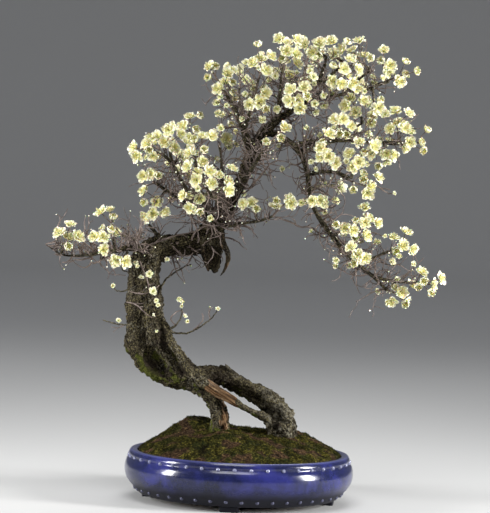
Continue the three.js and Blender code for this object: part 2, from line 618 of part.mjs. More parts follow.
// Bloom at the end of its stalk's rings: a calyx, a whorl of five outer petals and, on a double one,
// a raised whorl of five inner petals. A half-open one is a closed cup of five petals.
function bloomSolid({ base, axis, side, radius, cup, isDouble, isHalfOpen }, stalk) {
  const rim = CALYX_HEIGHT + cup;
  const calyx = ringAbout(base, axis, side, CALYX_SIDES, () => ({ out: CALYX_RADIUS }));
  if (isHalfOpen) {
    const reach = { out: radius, rise: rim + HALF_OPEN_SHOULDER };
    const shoulder = ringAbout(base, axis, side, PETAL_COUNT, () => reach);
    return loft([...stalk, calyx, shoulder], {
      last: base.clone().addScaledVector(axis, rim + HALF_OPEN_CROWN),
    });
  }
  const notch = { out: NOTCH_SHARE * radius, rise: NOTCH_RISE_SHARE * rim };
  const outer = ringAbout(base, axis, side, 2 * PETAL_COUNT, (k) => (
    k % 2 ? notch : { out: radius, rise: rim }
  ));
  const half = side.clone().applyAxisAngle(axis, Math.PI / PETAL_COUNT);
  const inner = ringAbout(base, axis, half, PETAL_COUNT, () => ({
    out: INNER_SHARE * radius,
    rise: rim + INNER_RISE,
  }));
  const heart = base.clone().addScaledVector(axis, rim - HEART_DROP);
  return loft([...stalk, calyx, outer, ...(isDouble ? [inner] : [])], { last: heart });
}

function bloomSize() {
  const openness = draw();
  const size = draw();
  const isHalfOpen = size < HALF_OPEN_SHARE;
  return {
    cup: CUP_SHALLOWEST + CUP_RANGE * openness,
    radius: isHalfOpen ? HALF_OPEN_RADIUS : THREE.MathUtils.lerp(BLOOM_SMALLEST, BLOOM_LARGEST, size),
    isDouble: size > SINGLE_SHARE,
    isHalfOpen,
  };
}

const bloomMiddle = ({ base, axis, cup }) => base.clone().addScaledVector(axis, CALYX_HEIGHT + cup);

const facingOf = (twig) => (twig.at(-1).y > BACK_FROM ? BACK_FACING : FRONT_FACING);

// The bloom that ends a twig, facing on along it and outwards, or none where it would touch something.
function endBloom({ twig }, owner) {
  const tip = twig.at(-1);
  const axis = tip.clone().sub(twig.at(-2)).normalize()
    .addScaledVector(facingOf(twig), END_FACING_SHARE)
    .normalize();
  const bloom = { base: tip.clone().addScaledVector(axis, END_SPUR), axis, ...bloomSize() };
  bloom.middle = bloomMiddle(bloom);
  return isClear(bloom.middle, bloom.middle, bloom.radius, owner) ? bloom : null;
}

// The blooms along a twig, each on its spur. A place that isn't clear is passed over for another
// side of the twig, a longer spur or a place a little further along.
function sideBlooms({ twig }, count, owner, placed) {
  const segments = twig.length - 1;
  for (let i = 1; i < count; i += 1) {
    const share = FIRST_BLOOM_SHARE + BLOOM_SPAN_SHARE * (i - 0.5) / (count - 1);
    const firstTurn = 2 * Math.PI * draw();
    const spurDraw = draw();
    const size = bloomSize();
    for (let attempt = 0; attempt < BLOOM_TRIES; attempt += 1) {
      const shiftStep = Math.floor(attempt / TRIES_A_SHIFT) % SHIFT_STEPS - Math.floor(SHIFT_STEPS / 2);
      const shifted = share + SHIFT_SHARE * shiftStep;
      const t = THREE.MathUtils.clamp(shifted, TWIG_END_SHARE, 1 - TWIG_END_SHARE) * segments;
      const from = twig[Math.floor(t)];
      const to = twig[Math.floor(t) + 1];
      const foot = from.clone().lerp(to, t % 1);
      const along = to.clone().sub(from).normalize();
      const side = squareTo(along);
      const across = new THREE.Vector3().crossVectors(along, side);
      const angle = firstTurn + (i + attempt) * GOLDEN_ANGLE;
      const axis = along.clone().multiplyScalar(FORWARD_LEAN)
        .addScaledVector(side, Math.cos(angle))
        .addScaledVector(across, Math.sin(angle))
        .add(facingOf(twig))
        .normalize();
      const spur = SPUR_SHORTEST + SPUR_RANGE * (spurDraw + attempt % SPUR_STEPS);
      const bloom = { foot, base: foot.clone().addScaledVector(axis, spur), axis, ...size };
      bloom.middle = bloomMiddle(bloom);
      const { middle, radius } = bloom;
      const isApart = placed.every((sister) => sister.middle.distanceTo(middle) > SISTER_SPACING);
      const isOffTwig = twig.slice(1).every((point, k) => (
        segmentDistance(middle, middle, twig[k], point) > OFF_TWIG_SHARE * radius));
      if (isApart && isOffTwig && isClear(middle, middle, radius, owner)
        && isClear(foot, middle, CALYX_RADIUS, owner)) {
        placed.push(bloom);
        break;
      }
    }
  }
}

function spraySolid(path, count, owner) {
  const rings = twigRings(path);
  const end = endBloom(path, owner);
  const blooms = end ? [end] : [];
  sideBlooms(path, count, owner, blooms);
  let solid;
  if (end) {
    const edge = rings.at(-1)[0].clone().sub(path.twig.at(-1));
    const side = edge.addScaledVector(end.axis, -edge.dot(end.axis)).normalize();
    solid = bloomSolid({ ...end, side }, rings);
  } else {
    solid = loft(rings);
  }
  blooms.forEach((bloom) => {
    capsules.push({ from: bloom.middle, to: bloom.middle, radius: bloom.radius, owner });
    if (!bloom.foot) return;
    capsules.push({ from: bloom.foot, to: bloom.middle, radius: CALYX_RADIUS, owner });
    const side = squareTo(bloom.axis);
    const foot = ringAbout(bloom.foot, bloom.axis, side, CALYX_SIDES, () => ({ out: SPUR_RADIUS }));
    solid = solid.add(bloomSolid({ ...bloom, side }, [foot]));
  });
  return solid;
}

function makeSprays() {
  const tubes = Object.entries({ ...BOLES, ...STRANDS, ...LIMBS, ...BARE_SHOOTS });
  tubes.forEach(([name, points]) => addCapsules(points, 'tree', name));
  const paths = SPRAY_TIPS.map(([x, y, z, count], i) => {
    const owner = `spray_${String(i + 1).padStart(2, '0')}`;
    const path = sprayPath(new THREE.Vector3(x, y, z), owner);
    if (!path.isEnd) {
      capsules.push({ from: path.place, to: path.seat, radius: STUB_ROOT_RADIUS, owner: 'tree' });
    }
    path.twig.slice(1).forEach((point, k) => {
      capsules.push({ from: path.twig[k], to: point, radius: TWIG_ROOT_RADIUS, owner });
    });
    return { owner, path, count };
  });
  const stubs = paths.filter(({ path }) => !path.isEnd).map(({ path: { place, radius, seat } }) => (
    limb([[...place, Math.min(radius, STUB_ROOT_RADIUS)], [...seat, TWIG_ROOT_RADIUS]], TWIG_SIDES)));
  const sprays = paths.map(({ owner, path, count }) => ({
    name: owner,
    solid: spraySolid(path, count, owner),
  }));
  return { stubs, sprays };
}

function makeTree(stubs) {
  return join([
    ...Object.values(BOLES).map((points) => limb(points, TRUNK_SIDES, { flute: FLUTE_DEPTH })),
    ...Object.values(STRANDS).map((points) => limb(points, STRAND_SIDES, { flute: FLUTE_DEPTH / 2 })),
    ...Object.values(LIMBS).map((points) => limb(points, LIMB_SIDES)),
    ...Object.values(BARE_SHOOTS).map((points) => limb(points, SHOOT_SIDES)),
    ...stubs,
  ]);
}

const roots = ['left_leg', 'dead_strand', 'bark_strand'].map((name) => limb(STRANDS[name], STRAND_SIDES, {
  grow: HOLE_CLEARANCE,
  flute: FLUTE_DEPTH / 2,
}));

const bonsai = new THREE.Group();
const { stubs, sprays } = makeSprays();
bonsai.add(toMesh('pot', makePot(), POT_GLAZE));
bonsai.add(toMesh('drain_screen_left', makeScreen(-1), MESH_PLASTIC));
bonsai.add(toMesh('drain_screen_right', makeScreen(1), MESH_PLASTIC));
bonsai.add(toMesh('soil', makeSoil(roots), SOIL_BROWN));
bonsai.add(toMesh('moss', makeMoss(roots), MOSS_GREEN));
bonsai.add(toMesh('tree', makeTree(stubs), BARK));
sprays.forEach(({ name, solid }) => bonsai.add(toMesh(name, solid, PETALS)));

const box = new THREE.Box3().setFromObject(bonsai);
const middle = box.getCenter(new THREE.Vector3());
bonsai.position.set(-middle.x, -middle.y, -box.min.z);

export default bonsai;
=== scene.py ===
"""Looks of a Japanese apricot bonsai in bloom, in its round glazed pot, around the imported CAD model."""
import itertools
import math

import bpy
import numpy as np
from mathutils import Matrix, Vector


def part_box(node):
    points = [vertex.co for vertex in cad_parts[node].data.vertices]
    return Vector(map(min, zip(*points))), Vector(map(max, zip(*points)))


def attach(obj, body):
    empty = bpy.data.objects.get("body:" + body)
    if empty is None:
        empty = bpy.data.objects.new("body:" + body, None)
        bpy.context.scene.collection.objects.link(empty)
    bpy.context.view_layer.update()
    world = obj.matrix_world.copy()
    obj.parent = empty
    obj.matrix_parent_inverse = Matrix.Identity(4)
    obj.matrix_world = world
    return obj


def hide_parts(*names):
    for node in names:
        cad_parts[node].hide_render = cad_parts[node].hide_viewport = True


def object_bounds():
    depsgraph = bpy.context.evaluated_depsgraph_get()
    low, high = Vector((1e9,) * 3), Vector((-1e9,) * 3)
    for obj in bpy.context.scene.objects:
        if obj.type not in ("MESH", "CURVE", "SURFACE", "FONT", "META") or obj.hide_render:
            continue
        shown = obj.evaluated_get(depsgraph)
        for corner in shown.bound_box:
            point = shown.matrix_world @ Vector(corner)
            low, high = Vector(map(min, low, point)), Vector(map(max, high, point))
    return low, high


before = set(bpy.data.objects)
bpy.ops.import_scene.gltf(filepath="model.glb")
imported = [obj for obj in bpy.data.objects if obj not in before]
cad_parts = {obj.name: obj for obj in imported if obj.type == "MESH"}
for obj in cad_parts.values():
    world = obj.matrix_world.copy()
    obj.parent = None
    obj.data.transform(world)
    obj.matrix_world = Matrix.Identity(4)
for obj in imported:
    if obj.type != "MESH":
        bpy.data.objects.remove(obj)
cad_box = [list(corner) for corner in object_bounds()]

# Photograph and camera
PHOTO_WIDTH = 490
SENSOR_WIDTH = 36
FOCAL_PIXELS = 2580
CAMERA_PLACE = (-3.4, -4500, 592)
CAMERA_PITCH = 2.1
CAMERA_ROLL = 2.2

# Pot, soil and moss
POT_WIDEST_RADIUS = 200
POT_MOUTH_RADIUS = 178
FOOT_HEIGHT = 10
FOOT_LENGTH = 34
FOOT_WIDTH = 16
FOOT_RADIUS = 160
FOOT_TURN = -5
FOOT_COUNT = 4
STUD_COUNT = 43
STUD_RADIUS = 4.6
STUD_PROUD = 2.4
# Each row of studs by its height, its distance out, its tilt in degrees and its shift in studs.
STUD_ROWS = ((19, 182, 41, 0.25), (75, 193.4, -12, 0.75))
MOUND_EDGE = 85
MOUND_DOME = 38
MOUND_DOME_POWER = 0.8
MOUND_EDGE_POWER = 3
# Humps of the mound by x, y, rise and reach.
HUMPS = ((-85, 60, 27, 52), (95, 45, 11, 45), (-30, -70, 6, 40), (60, -60, -5, 45))

# Wood as [x, y, z, radius] points from root to tip.
BOLES = {
    "trunk": [
        [-80, 5, 204, 22], [-106, 5, 217, 27], [-131, 5, 232, 33], [-153, 5, 252, 38], [-166, 5, 278, 38],
        [-170, 5, 306, 35], [-173, 5, 334, 31], [-177, 9, 380, 27], [-174, 14, 413, 26], [-160, 20, 432, 24],
        [-138, 26, 441, 21], [-112, 30, 444, 20], [-87, 28, 448, 21], [-66, 24, 463, 22], [-53, 20, 485, 18],
        [-33, 15, 523, 14.5], [-12, 12, 565, 12], [2, 12, 605, 10.5], [21, 14, 644, 9], [69, 14, 686, 7],
    ],
}

STRANDS = {
    "left_leg": [
        [-88, 0, 208, 20], [-62, -10, 190, 17], [-46, -18, 170, 16], [-38, -22, 148, 17], [-37, -24, 128, 20],
        [-37, -24, 100, 22], [-37, -22, 60, 12],
    ],
    "dead_strand": [
        [-98, -12, 212, 13], [-68, -26, 205, 10.5], [-45, -34, 193, 9.5], [-23, -38, 182, 8.5],
        [0, -38, 169, 7], [19, -32, 159, 6], [37, -26, 152, 9], [55, -18, 140, 13], [68, -10, 120, 18],
    ],
    "bark_strand": [
        [-92, 14, 213, 20], [-60, 30, 213, 20], [-30, 36, 210, 18], [-3, 36, 197, 17], [22, 32, 186, 18],
        [45, 26, 175, 21], [63, 18, 159, 23], [73, 10, 139, 24], [75, 4, 119, 28], [76, 2, 96, 27],
        [76, 2, 55, 14],
    ],
    "bark_spike": [[-8, 34, 200, 10], [-22, 32, 223, 5], [-31, 32, 235, 1.5]],
    "stump_core": [[-64, 24, 460, 20], [-60, 20, 435, 17], [-57, 18, 415, 13], [-55, 18, 401, 7]],
    "stump_left": [[-75, 16, 460, 8], [-77, 12, 435, 6], [-71, 10, 414, 5], [-67, 12, 399, 2]],
    "stump_right": [
        [-51, 14, 468, 8], [-41, 8, 445, 6], [-33, 4, 425, 5], [-38, 4, 403, 3], [-45, 6, 392, 1.5],
    ],
}

LIMBS = {
    "leader": [
        [69, 14, 686, 7], [92, 10, 707, 5.5], [110, 6, 732, 4.5], [121, 2, 760, 3.5], [125, 0, 780, 2.6],
    ],
    "low_left": [
        [-166, 10, 425, 12], [-185, -8, 433, 10], [-205, -22, 435, 8.5], [-229, -34, 429, 7],
        [-252, -44, 425, 5.5], [-276, -52, 421, 4.5], [-298, -56, 419, 3.3], [-321, -58, 421, 2.3],
        [-347, -60, 437, 1.5],
    ],
    "low_left_back": [[-175, 20, 417, 8], [-193, 56, 440, 6], [-216, 88, 452, 5], [-242, 112, 452, 3.5]],
    "mid_left": [
        [-53, 16, 485, 8.5], [-74, 4, 498, 7], [-96, -8, 512, 6], [-120, -20, 525, 5], [-145, -30, 538, 4],
        [-166, -38, 551, 3],
    ],
    "mid_left_high": [
        [-85, -2, 507, 6], [-103, -20, 531, 4.5], [-119, -34, 556, 4], [-134, -44, 583, 3],
        [-152, -52, 600, 2.6],
    ],
    "mid_left_rise": [
        [-71, 6, 499, 6], [-81, 14, 526, 4.5], [-91, 18, 557, 4], [-97, 20, 588, 3], [-105, 20, 620, 2.6],
    ],
    "mid_left_inner": [
        [-47, 18, 499, 6.5], [-48, 34, 531, 5], [-49, 44, 566, 4.5], [-52, 50, 597, 3], [-56, 54, 618, 2.6],
    ],
    "mid_left_back": [[-59, 30, 488, 7], [-76, 64, 515, 6], [-97, 98, 538, 4.5], [-114, 124, 562, 3]],
    "mid_left_front": [[-46, 8, 498, 6], [-54, -34, 521, 4.5], [-68, -68, 538, 3.5], [-80, -90, 556, 3]],
    "crown_left": [
        [2, 10, 606, 8], [-9, 0, 630, 6.5], [-19, -12, 657, 5.5], [-32, -24, 684, 4.5], [-47, -34, 707, 3],
    ],
    "crown_left_front": [[-15, -8, 647, 4.5], [-4, -34, 678, 4], [2, -54, 706, 3], [8, -66, 734, 2.6]],
    "crown_left_back": [
        [5, 16, 613, 6.5], [-8, 50, 641, 5.5], [-18, 80, 669, 4.5], [-24, 96, 700, 3], [-25, 98, 725, 2.6],
    ],
    "crown_mid": [[43, 16, 665, 6], [46, 0, 695, 4.5], [47, -16, 726, 3.5], [49, -28, 757, 2.6]],
    "crown_mid_up": [[69, 14, 686, 5], [79, 34, 714, 4.5], [87, 56, 743, 3.5], [92, 72, 765, 2.6]],
    "crown_mid_front": [[69, 10, 685, 5], [82, -32, 699, 4.5], [95, -74, 716, 3.5], [106, -106, 734, 2.6]],
    "crown_mid_back": [[69, 18, 686, 5], [76, 64, 704, 4.5], [88, 108, 730, 3.5], [106, 142, 756, 2.6]],
    "crown_right": [
        [82, 12, 698, 5.5], [113, 6, 705, 4.5], [144, 0, 713, 4], [175, -6, 721, 3.5], [206, -12, 730, 2.6],
        [234, -14, 740, 2.6],
    ],
    "crown_right_up": [[110, 6, 732, 3.5], [136, 14, 751, 3], [158, 20, 772, 2.6]],
    "crown_right_front": [[160, -3, 717, 3.5], [181, -18, 741, 2.6], [201, -30, 759, 2.6]],
    "crown_right_back": [[113, 10, 705, 4.5], [142, 56, 721, 3.5], [168, 98, 737, 3]],
    "cascade": [
        [21, 14, 644, 8], [50, 6, 638, 7.6], [74, -4, 623, 7.2], [91, -12, 601, 6.8], [99, -18, 575, 6.4],
        [103, -22, 547, 6], [111, -24, 520, 5.6], [126, -26, 495, 5.4], [146, -28, 469, 5.2],
        [169, -30, 444, 4.8], [195, -32, 421, 4.3], [221, -34, 401, 3.8], [243, -28, 380, 3.2],
    ],
    "cascade_tip": [[221, -34, 401, 3.4], [252, -44, 396, 3], [284, -50, 394, 2.6]],
    "cascade_mid": [[195, -32, 421, 3.8], [221, -18, 434, 3.2], [244, -6, 445, 2.6]],
    "cascade_back": [[170, -26, 444, 4.2], [183, 14, 454, 3.6], [204, 46, 460, 3]],
    "right_pad": [
        [74, -4, 623, 6], [105, -18, 631, 5], [136, -32, 634, 4.5], [167, -44, 635, 3.5], [197, -52, 634, 3],
        [228, -58, 635, 2.6], [256, -60, 636, 2.6],
    ],
    "right_pad_up": [[136, -30, 634, 3.5], [163, -28, 650, 3], [192, -26, 667, 2.6]],
    "right_pad_back": [[85, -6, 613, 6], [114, 40, 621, 4.5], [143, 84, 633, 3.5], [176, 122, 642, 3]],
    "right_low": [[99, -18, 575, 5], [124, -36, 580, 4], [151, -54, 579, 3.5], [174, -68, 571, 2.6]],
    "right_low_back": [[103, -20, 547, 5], [128, 20, 555, 4], [152, 60, 556, 3.5]],
    "mid_low": [
        [-53, 12, 485, 5], [-32, -6, 480, 4.5], [-7, -20, 486, 3.5], [17, -32, 490, 3], [42, -42, 500, 2.6],
    ],
    "inner_front": [[-12, 6, 565, 6], [3, -34, 582, 4.5], [14, -68, 600, 3.5], [22, -92, 613, 3]],
    "inner_back": [[-12, 16, 565, 6], [5, 56, 595, 4.5], [24, 88, 635, 3.5], [42, 108, 675, 3]],
}

BARE_SHOOTS = {
    "low_mid": [[-144, 20, 445, 7], [-162, 10, 463, 5], [-174, 2, 478, 3.6]],
    "right_arc": [
        [-139, -18, 298, 3.5], [-118, -24, 290, 2.8], [-94, -28, 293, 2.4], [-70, -30, 308, 2],
        [-55, -30, 321, 1.7], [-47, -30, 335, 1.4],
    ],
    "right_up": [[-132, -18, 295, 3], [-119, -26, 304, 2.4], [-110, -30, 319, 2], [-109, -32, 336, 1.6]],
    "back_arc": [
        [-152, 0, 345, 3.5], [-147, 14, 369, 2.8], [-134, 22, 387, 2.4], [-115, 28, 400, 1.9],
        [-98, 32, 409, 1.4],
    ],
    "left_high": [[-188, -10, 369, 2.8], [-211, -22, 360, 2.2], [-223, -28, 360, 1.8], [-230, -30, 368, 1.4]],
    "left_low": [[-185, -12, 306, 2.8], [-209, -26, 301, 2.2], [-228, -34, 304, 1.8], [-245, -38, 309, 1.4]],
    "hook": [
        [-207, -24, 428, 2.8], [-216, -34, 411, 2.2], [-214, -38, 397, 2], [-198, -40, 394, 1.7],
        [-189, -42, 403, 1.4],
    ],
}

# The tip of each spray by x and y, its height and its number of blooms.
SPRAY_TIPS = [
    [-75, -45, 750, 5], [-48, -25, 725, 7], [10, -75, 765, 7], [52, 20, 750, 7], [55, -40, 795, 6],
    [103, -15, 785, 7], [138, 45, 790, 6], [172, -10, 789, 6], [218, -50, 772, 7], [258, -15, 752, 7],
    [155, -86, 745, 8], [168, -52, 705, 8], [142, -100, 668, 6], [78, -110, 700, 7], [10, -75, 695, 7],
    [55, -105, 650, 3], [122, -115, 626, 6], [208, -15, 685, 6], [250, -80, 665, 6], [288, -55, 636, 6],
    [190, -110, 612, 7], [235, -25, 605, 7], [205, -80, 558, 6], [160, 65, 545, 4], [122, -75, 530, 5],
    [68, -62, 528, 4], [5, -45, 518, 3], [165, -70, 483, 5], [206, -50, 500, 7], [190, -82, 438, 6],
    [270, 5, 458, 6], [275, -15, 362, 7], [320, -50, 392, 8], [-198, -70, 608, 5], [-165, -15, 615, 5],
    [-137, -75, 642, 6], [-118, -45, 608, 6], [-109, 15, 664, 5], [-85, -85, 628, 6], [-55, 45, 645, 6],
    [-170, -50, 562, 6], [-88, -115, 568, 5], [-40, -75, 555, 4], [-98, -68, 512, 4], [-175, -15, 494, 6],
    [-242, 5, 494, 5], [-308, -72, 448, 6], [-248, -85, 452, 6], [-226, -74, 414, 3],
    [-25, 95, 752, 5], [95, 85, 785, 5], [185, 120, 745, 5], [208, 150, 648, 5], [-125, 142, 598, 5],
]

# Sprays, as the solids have them. Places stay in millimetres about the pot's axis, as the tables are,
# until a piece is made.
SEED = 20417
TWIG_ROOT_RADIUS = 2
TWIG_TIP_RADIUS = 1.5
STUB_SHARE = 0.3
STUB_ROOT_RADIUS = 2.6
STUB_SKIP = 3
END_BENDS = (0.5, 1)
SIDE_BENDS = (0.62, 1)
BULGE_LEAST = 0.14
BULGE_STEP = 0.05
BULGE_TURNS = 8
SPUR_SHORTEST = 6
SPUR_RANGE = 7
SPUR_STEPS = 4
CALYX_RADIUS = 1.9
CALYX_HEIGHT = 2
BLOOM_SMALLEST = 10.6
BLOOM_LARGEST = 13.4
HALF_OPEN_RADIUS = 7
HALF_OPEN_SHARE = 0.3
CUP_SHALLOWEST = 2.5
CUP_RANGE = 2.5
BLOOM_CLEAR = 0.6
END_SPUR = 1.5
SISTER_SPACING = 24
SLENDER_RADIUS = 8
DROP_COST = 8
END_GAIN = 6
WIDEST_TURN = 0.9
PATH_TRIES = 40
BLOOM_TRIES = 240
FIRST_BLOOM_SHARE = 0.12
BLOOM_SPAN_SHARE = 0.8
SHIFT_SHARE = 0.08
SHIFT_STEPS = 5
TRIES_A_SHIFT = 12
TWIG_END_SHARE = 0.08
FORWARD_LEAN = 0.6
OFF_TWIG_SHARE = 1.02
GOLDEN_ANGLE = 2.399963
GAP = 0.3
FRONT_FACING = np.array([0, -1.4, 0.35])
BACK_FACING = np.array([0, 0.9, 0.35])
BACK_FROM = 60
END_FACING_SHARE = 0.5

DRAW_FACTOR = 48271
DRAW_SPAN = 2 ** 31 - 1
draw_state = SEED


def draw():
    """Seeded draw between 0 and 1, the same row of draws as the solids had."""
    global draw_state
    draw_state = draw_state * DRAW_FACTOR % DRAW_SPAN
    return draw_state / DRAW_SPAN


def unit(v):
    return v / math.sqrt(float(v @ v))


def square_to(axis):
    reference = np.array([0.0, 0, 1]) if abs(axis[2]) < 0.9 else np.array([1.0, 0, 0])
    return unit(np.cross(axis, reference))


class Capsules:
    """Solids as straight capsules, for keeping the sprays clear of the wood and of each other."""

    def __init__(self):
        self.rows = []
        self.packed = None

    def add(self, start, end, radius, owner, name=None):
        self.rows.append((start, end, radius, owner, str(name)))
        self.packed = None

    def clear(self, start, end, radius, owner, parent=None):
        """Whether a capsule stands clear of all but its own spray and the limb that it grows from."""
        if self.packed is None:
            self.packed = [np.array(column) for column in zip(*self.rows)]
        starts, ends, radii, owners, names = self.packed
        other = owners != owner
        if parent:
            other &= names != parent
        reach = segment_distance(start, end, starts[other], ends[other])
        return not np.any(reach <= radius + radii[other] + BLOOM_CLEAR)


TINY = 1e-9


def segment_distance(start, end, starts, ends):
    """Distance from one segment to each of many others."""
    own, others, offset = end - start, ends - starts, start - starts
    own_square = float(own @ own)
    squares = np.einsum("ij,ij->i", others, others)
    ahead = np.einsum("ij,ij->i", others, offset)
    behind = offset @ own
    shared = others @ own
    skew = own_square * squares - shared * shared
    is_long = squares > TINY
    crosses = (own_square > TINY) & is_long & (skew > TINY)
    own_t = (shared * ahead - behind * squares) / np.where(crosses, skew, 1)
    own_t = np.where(crosses, np.clip(own_t, 0, 1), 0)
    other_t = (shared * own_t + ahead) / np.where(is_long, squares, 1)
    other_t = np.where(is_long, np.clip(other_t, 0, 1), 0)
    if own_square > TINY:
        own_t = np.clip((shared * other_t - behind) / own_square, 0, 1)
    gap = (start + np.outer(own_t, own)) - (starts + other_t[:, None] * others)
    return np.sqrt(np.einsum("ij,ij->i", gap, gap))


def nearest_limb_place(tip, taken_ends):
    best = {"distance": math.inf}
    for name, points in LIMBS.items():
        for i in range(1, len(points)):
            place = np.array(points[i][:3], float)
            before = np.array(points[i - 1][:3], float)
            is_last = i == len(points) - 1
            cosine = float(unit(place - before) @ unit(tip - place))
            is_end = is_last and math.acos(max(-1, min(1, cosine))) < WIDEST_TURN
            distance = math.sqrt(float((place - tip) @ (place - tip)))
            distance += (DROP_COST if place[2] > tip[2] else 0) - (END_GAIN if is_end else 0)
            is_open = points[i][3] < SLENDER_RADIUS and not (is_last and name in taken_ends)
            if is_open and distance < best["distance"]:
                best = dict(distance=distance, place=place, before=before, radius=points[i][3],
                            is_end=is_end, is_last=is_last, name=name)
    if best["is_last"]:
        taken_ends.add(best["name"])
    return best


def bezier(start, bend, end, t):
    return (1 - t) ** 2 * start + 2 * (1 - t) * t * bend + t * t * end


def spray_path(tip, owner, capsules, taken_ends):
    """A stub on the limb, or the limb's own end, then a twig that bends to its tip."""
    limb = nearest_limb_place(tip, taken_ends)
    place, is_end = limb["place"], limb["is_end"]
    span = tip - place
    length = math.sqrt(float(span @ span))
    turn = 2 * math.pi * draw()
    side = square_to(unit(span))
    across = np.cross(unit(span), side)
    for attempt in range(PATH_TRIES):
        bulge = length * (BULGE_LEAST + BULGE_STEP * (attempt // BULGE_TURNS))
        angle = turn + attempt * 2 * math.pi / BULGE_TURNS
        bend = (place + span * 0.5 + side * (bulge * math.cos(angle))
                + across * (bulge * math.sin(angle)))
        seat = place if is_end else bezier(place, bend, tip, STUB_SHARE)
        heading = unit(seat - (limb["before"] if is_end else place))
        first = seat + heading * GAP
        twig = [first] + [bezier(place, bend, tip, t) for t in (END_BENDS if is_end else SIDE_BENDS)]
        starts = [first + heading * (0 if is_end else STUB_SKIP)] + twig[1:-1]
        parent = limb["name"] if is_end else None
        is_clear = is_end or capsules.clear(place, seat, STUB_ROOT_RADIUS, "tree")
        if is_clear and all(capsules.clear(start, twig[i + 1], TWIG_ROOT_RADIUS, owner, parent)
                            for i, start in enumerate(starts)):
            return dict(limb, seat=seat, bend=bend, tip=tip, twig=twig)
    raise ValueError(f"no clear path for {owner}")


def bloom_size():
    openness = draw()
    size = draw()
    is_half_open = size < HALF_OPEN_SHARE
    spread = BLOOM_SMALLEST * (1 - size) + BLOOM_LARGEST * size
    return dict(cup=CUP_SHALLOWEST + CUP_RANGE * openness, is_half_open=is_half_open,
                radius=HALF_OPEN_RADIUS if is_half_open else spread)


def facing_of(twig):
    return BACK_FACING if twig[-1][1] > BACK_FROM else FRONT_FACING


def end_bloom(twig, owner, capsules):
    axis = unit(unit(twig[-1] - twig[-2]) + facing_of(twig) * END_FACING_SHARE)
    bloom = dict(base=twig[-1] + axis * END_SPUR, axis=axis, foot=None, **bloom_size())
    bloom["middle"] = bloom["base"] + axis * (CALYX_HEIGHT + bloom["cup"])
    is_clear = capsules.clear(bloom["middle"], bloom["middle"], bloom["radius"], owner)
    return bloom if is_clear else None


def side_blooms(twig, count, owner, capsules, placed):
    """Blooms along a twig, each on its spur, passed on to another place while one isn't clear."""
    segments = len(twig) - 1
    for i in range(1, count):
        share = FIRST_BLOOM_SHARE + BLOOM_SPAN_SHARE * (i - 0.5) / (count - 1)
        first_turn = 2 * math.pi * draw()
        spur_draw = draw()
        size = bloom_size()
        for attempt in range(BLOOM_TRIES):
            shifted = share + SHIFT_SHARE * (attempt // TRIES_A_SHIFT % SHIFT_STEPS - SHIFT_STEPS // 2)
            t = max(TWIG_END_SHARE, min(1 - TWIG_END_SHARE, shifted)) * segments
            start, end = twig[int(t)], twig[int(t) + 1]
            foot = start + (end - start) * (t % 1)
            along = unit(end - start)
            side = square_to(along)
            across = np.cross(along, side)
            angle = first_turn + (i + attempt) * GOLDEN_ANGLE
            axis = unit(along * FORWARD_LEAN + side * math.cos(angle) + across * math.sin(angle)
                        + facing_of(twig))
            spur = SPUR_SHORTEST + SPUR_RANGE * (spur_draw + attempt % SPUR_STEPS)
            base = foot + axis * spur
            middle = base + axis * (CALYX_HEIGHT + size["cup"])
            is_apart = all(math.dist(sister["middle"], middle) > SISTER_SPACING for sister in placed)
            reach = segment_distance(middle, middle, np.array(twig[:-1]), np.array(twig[1:]))
            is_off_twig = bool(np.all(reach > OFF_TWIG_SHARE * size["radius"]))
            if (is_apart and is_off_twig and capsules.clear(middle, middle, size["radius"], owner)
                    and capsules.clear(foot, middle, CALYX_RADIUS, owner)):
                placed.append(dict(foot=foot, base=base, axis=axis, middle=middle, **size))
                break


def place_sprays():
    """The twig and blooms of every spray, where the solids have them."""
    capsules = Capsules()
    taken_ends = set()
    for name, points in {**BOLES, **STRANDS, **LIMBS, **BARE_SHOOTS}.items():
        for one, two in zip(points, points[1:]):
            start, end = np.array(one[:3], float), np.array(two[:3], float)
            capsules.add(start, end, max(one[3], two[3]), "tree", name)
    sprays = []
    for i, (x, y, z, count) in enumerate(SPRAY_TIPS):
        owner = f"spray_{i + 1:02d}"
        path = spray_path(np.array([x, y, z], float), owner, capsules, taken_ends)
        if not path["is_end"]:
            capsules.add(path["place"], path["seat"], STUB_ROOT_RADIUS, "tree")
        for one, two in zip(path["twig"], path["twig"][1:]):
            capsules.add(one, two, TWIG_ROOT_RADIUS, owner)
        sprays.append(dict(path, owner=owner, count=count))
    for spray in sprays:
        end = end_bloom(spray["twig"], spray["owner"], capsules)
        blooms = [end] if end else []
        side_blooms(spray["twig"], spray["count"], spray["owner"], capsules, blooms)
        for bloom in blooms:
            capsules.add(bloom["middle"], bloom["middle"], bloom["radius"], spray["owner"])
            if bloom["foot"] is not None:
                capsules.add(bloom["foot"], bloom["middle"], CALYX_RADIUS, spray["owner"])
        spray["blooms"] = blooms
    return sprays


# Where the pot's axis stands in the frame, in millimetres.
pot_low, pot_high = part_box("pot")
AXIS_PLACE = np.array([(pot_low.x + pot_high.x) * 500, pot_low.y * 1000 + POT_WIDEST_RADIUS, 0])

random = np.random.default_rng(SEED)

# Noise
NOISE_SEED = 11
ORDER = np.random.default_rng(NOISE_SEED).permutation(256)
SLOPES = np.array([[1, 1, 0], [-1, 1, 0], [1, -1, 0], [-1, -1, 0], [1, 0, 1], [-1, 0, 1], [1, 0, -1],
                   [-1, 0, -1], [0, 1, 1], [0, -1, 1], [0, 1, -1], [0, -1, -1], [1, 1, 0], [-1, 1, 0],
                   [0, -1, 1], [0, -1, -1]], float)
CORNERS = list(itertools.product((0, 1), repeat=3))
NEIGHBOURS = list(itertools.product((-1, 0, 1), repeat=3))


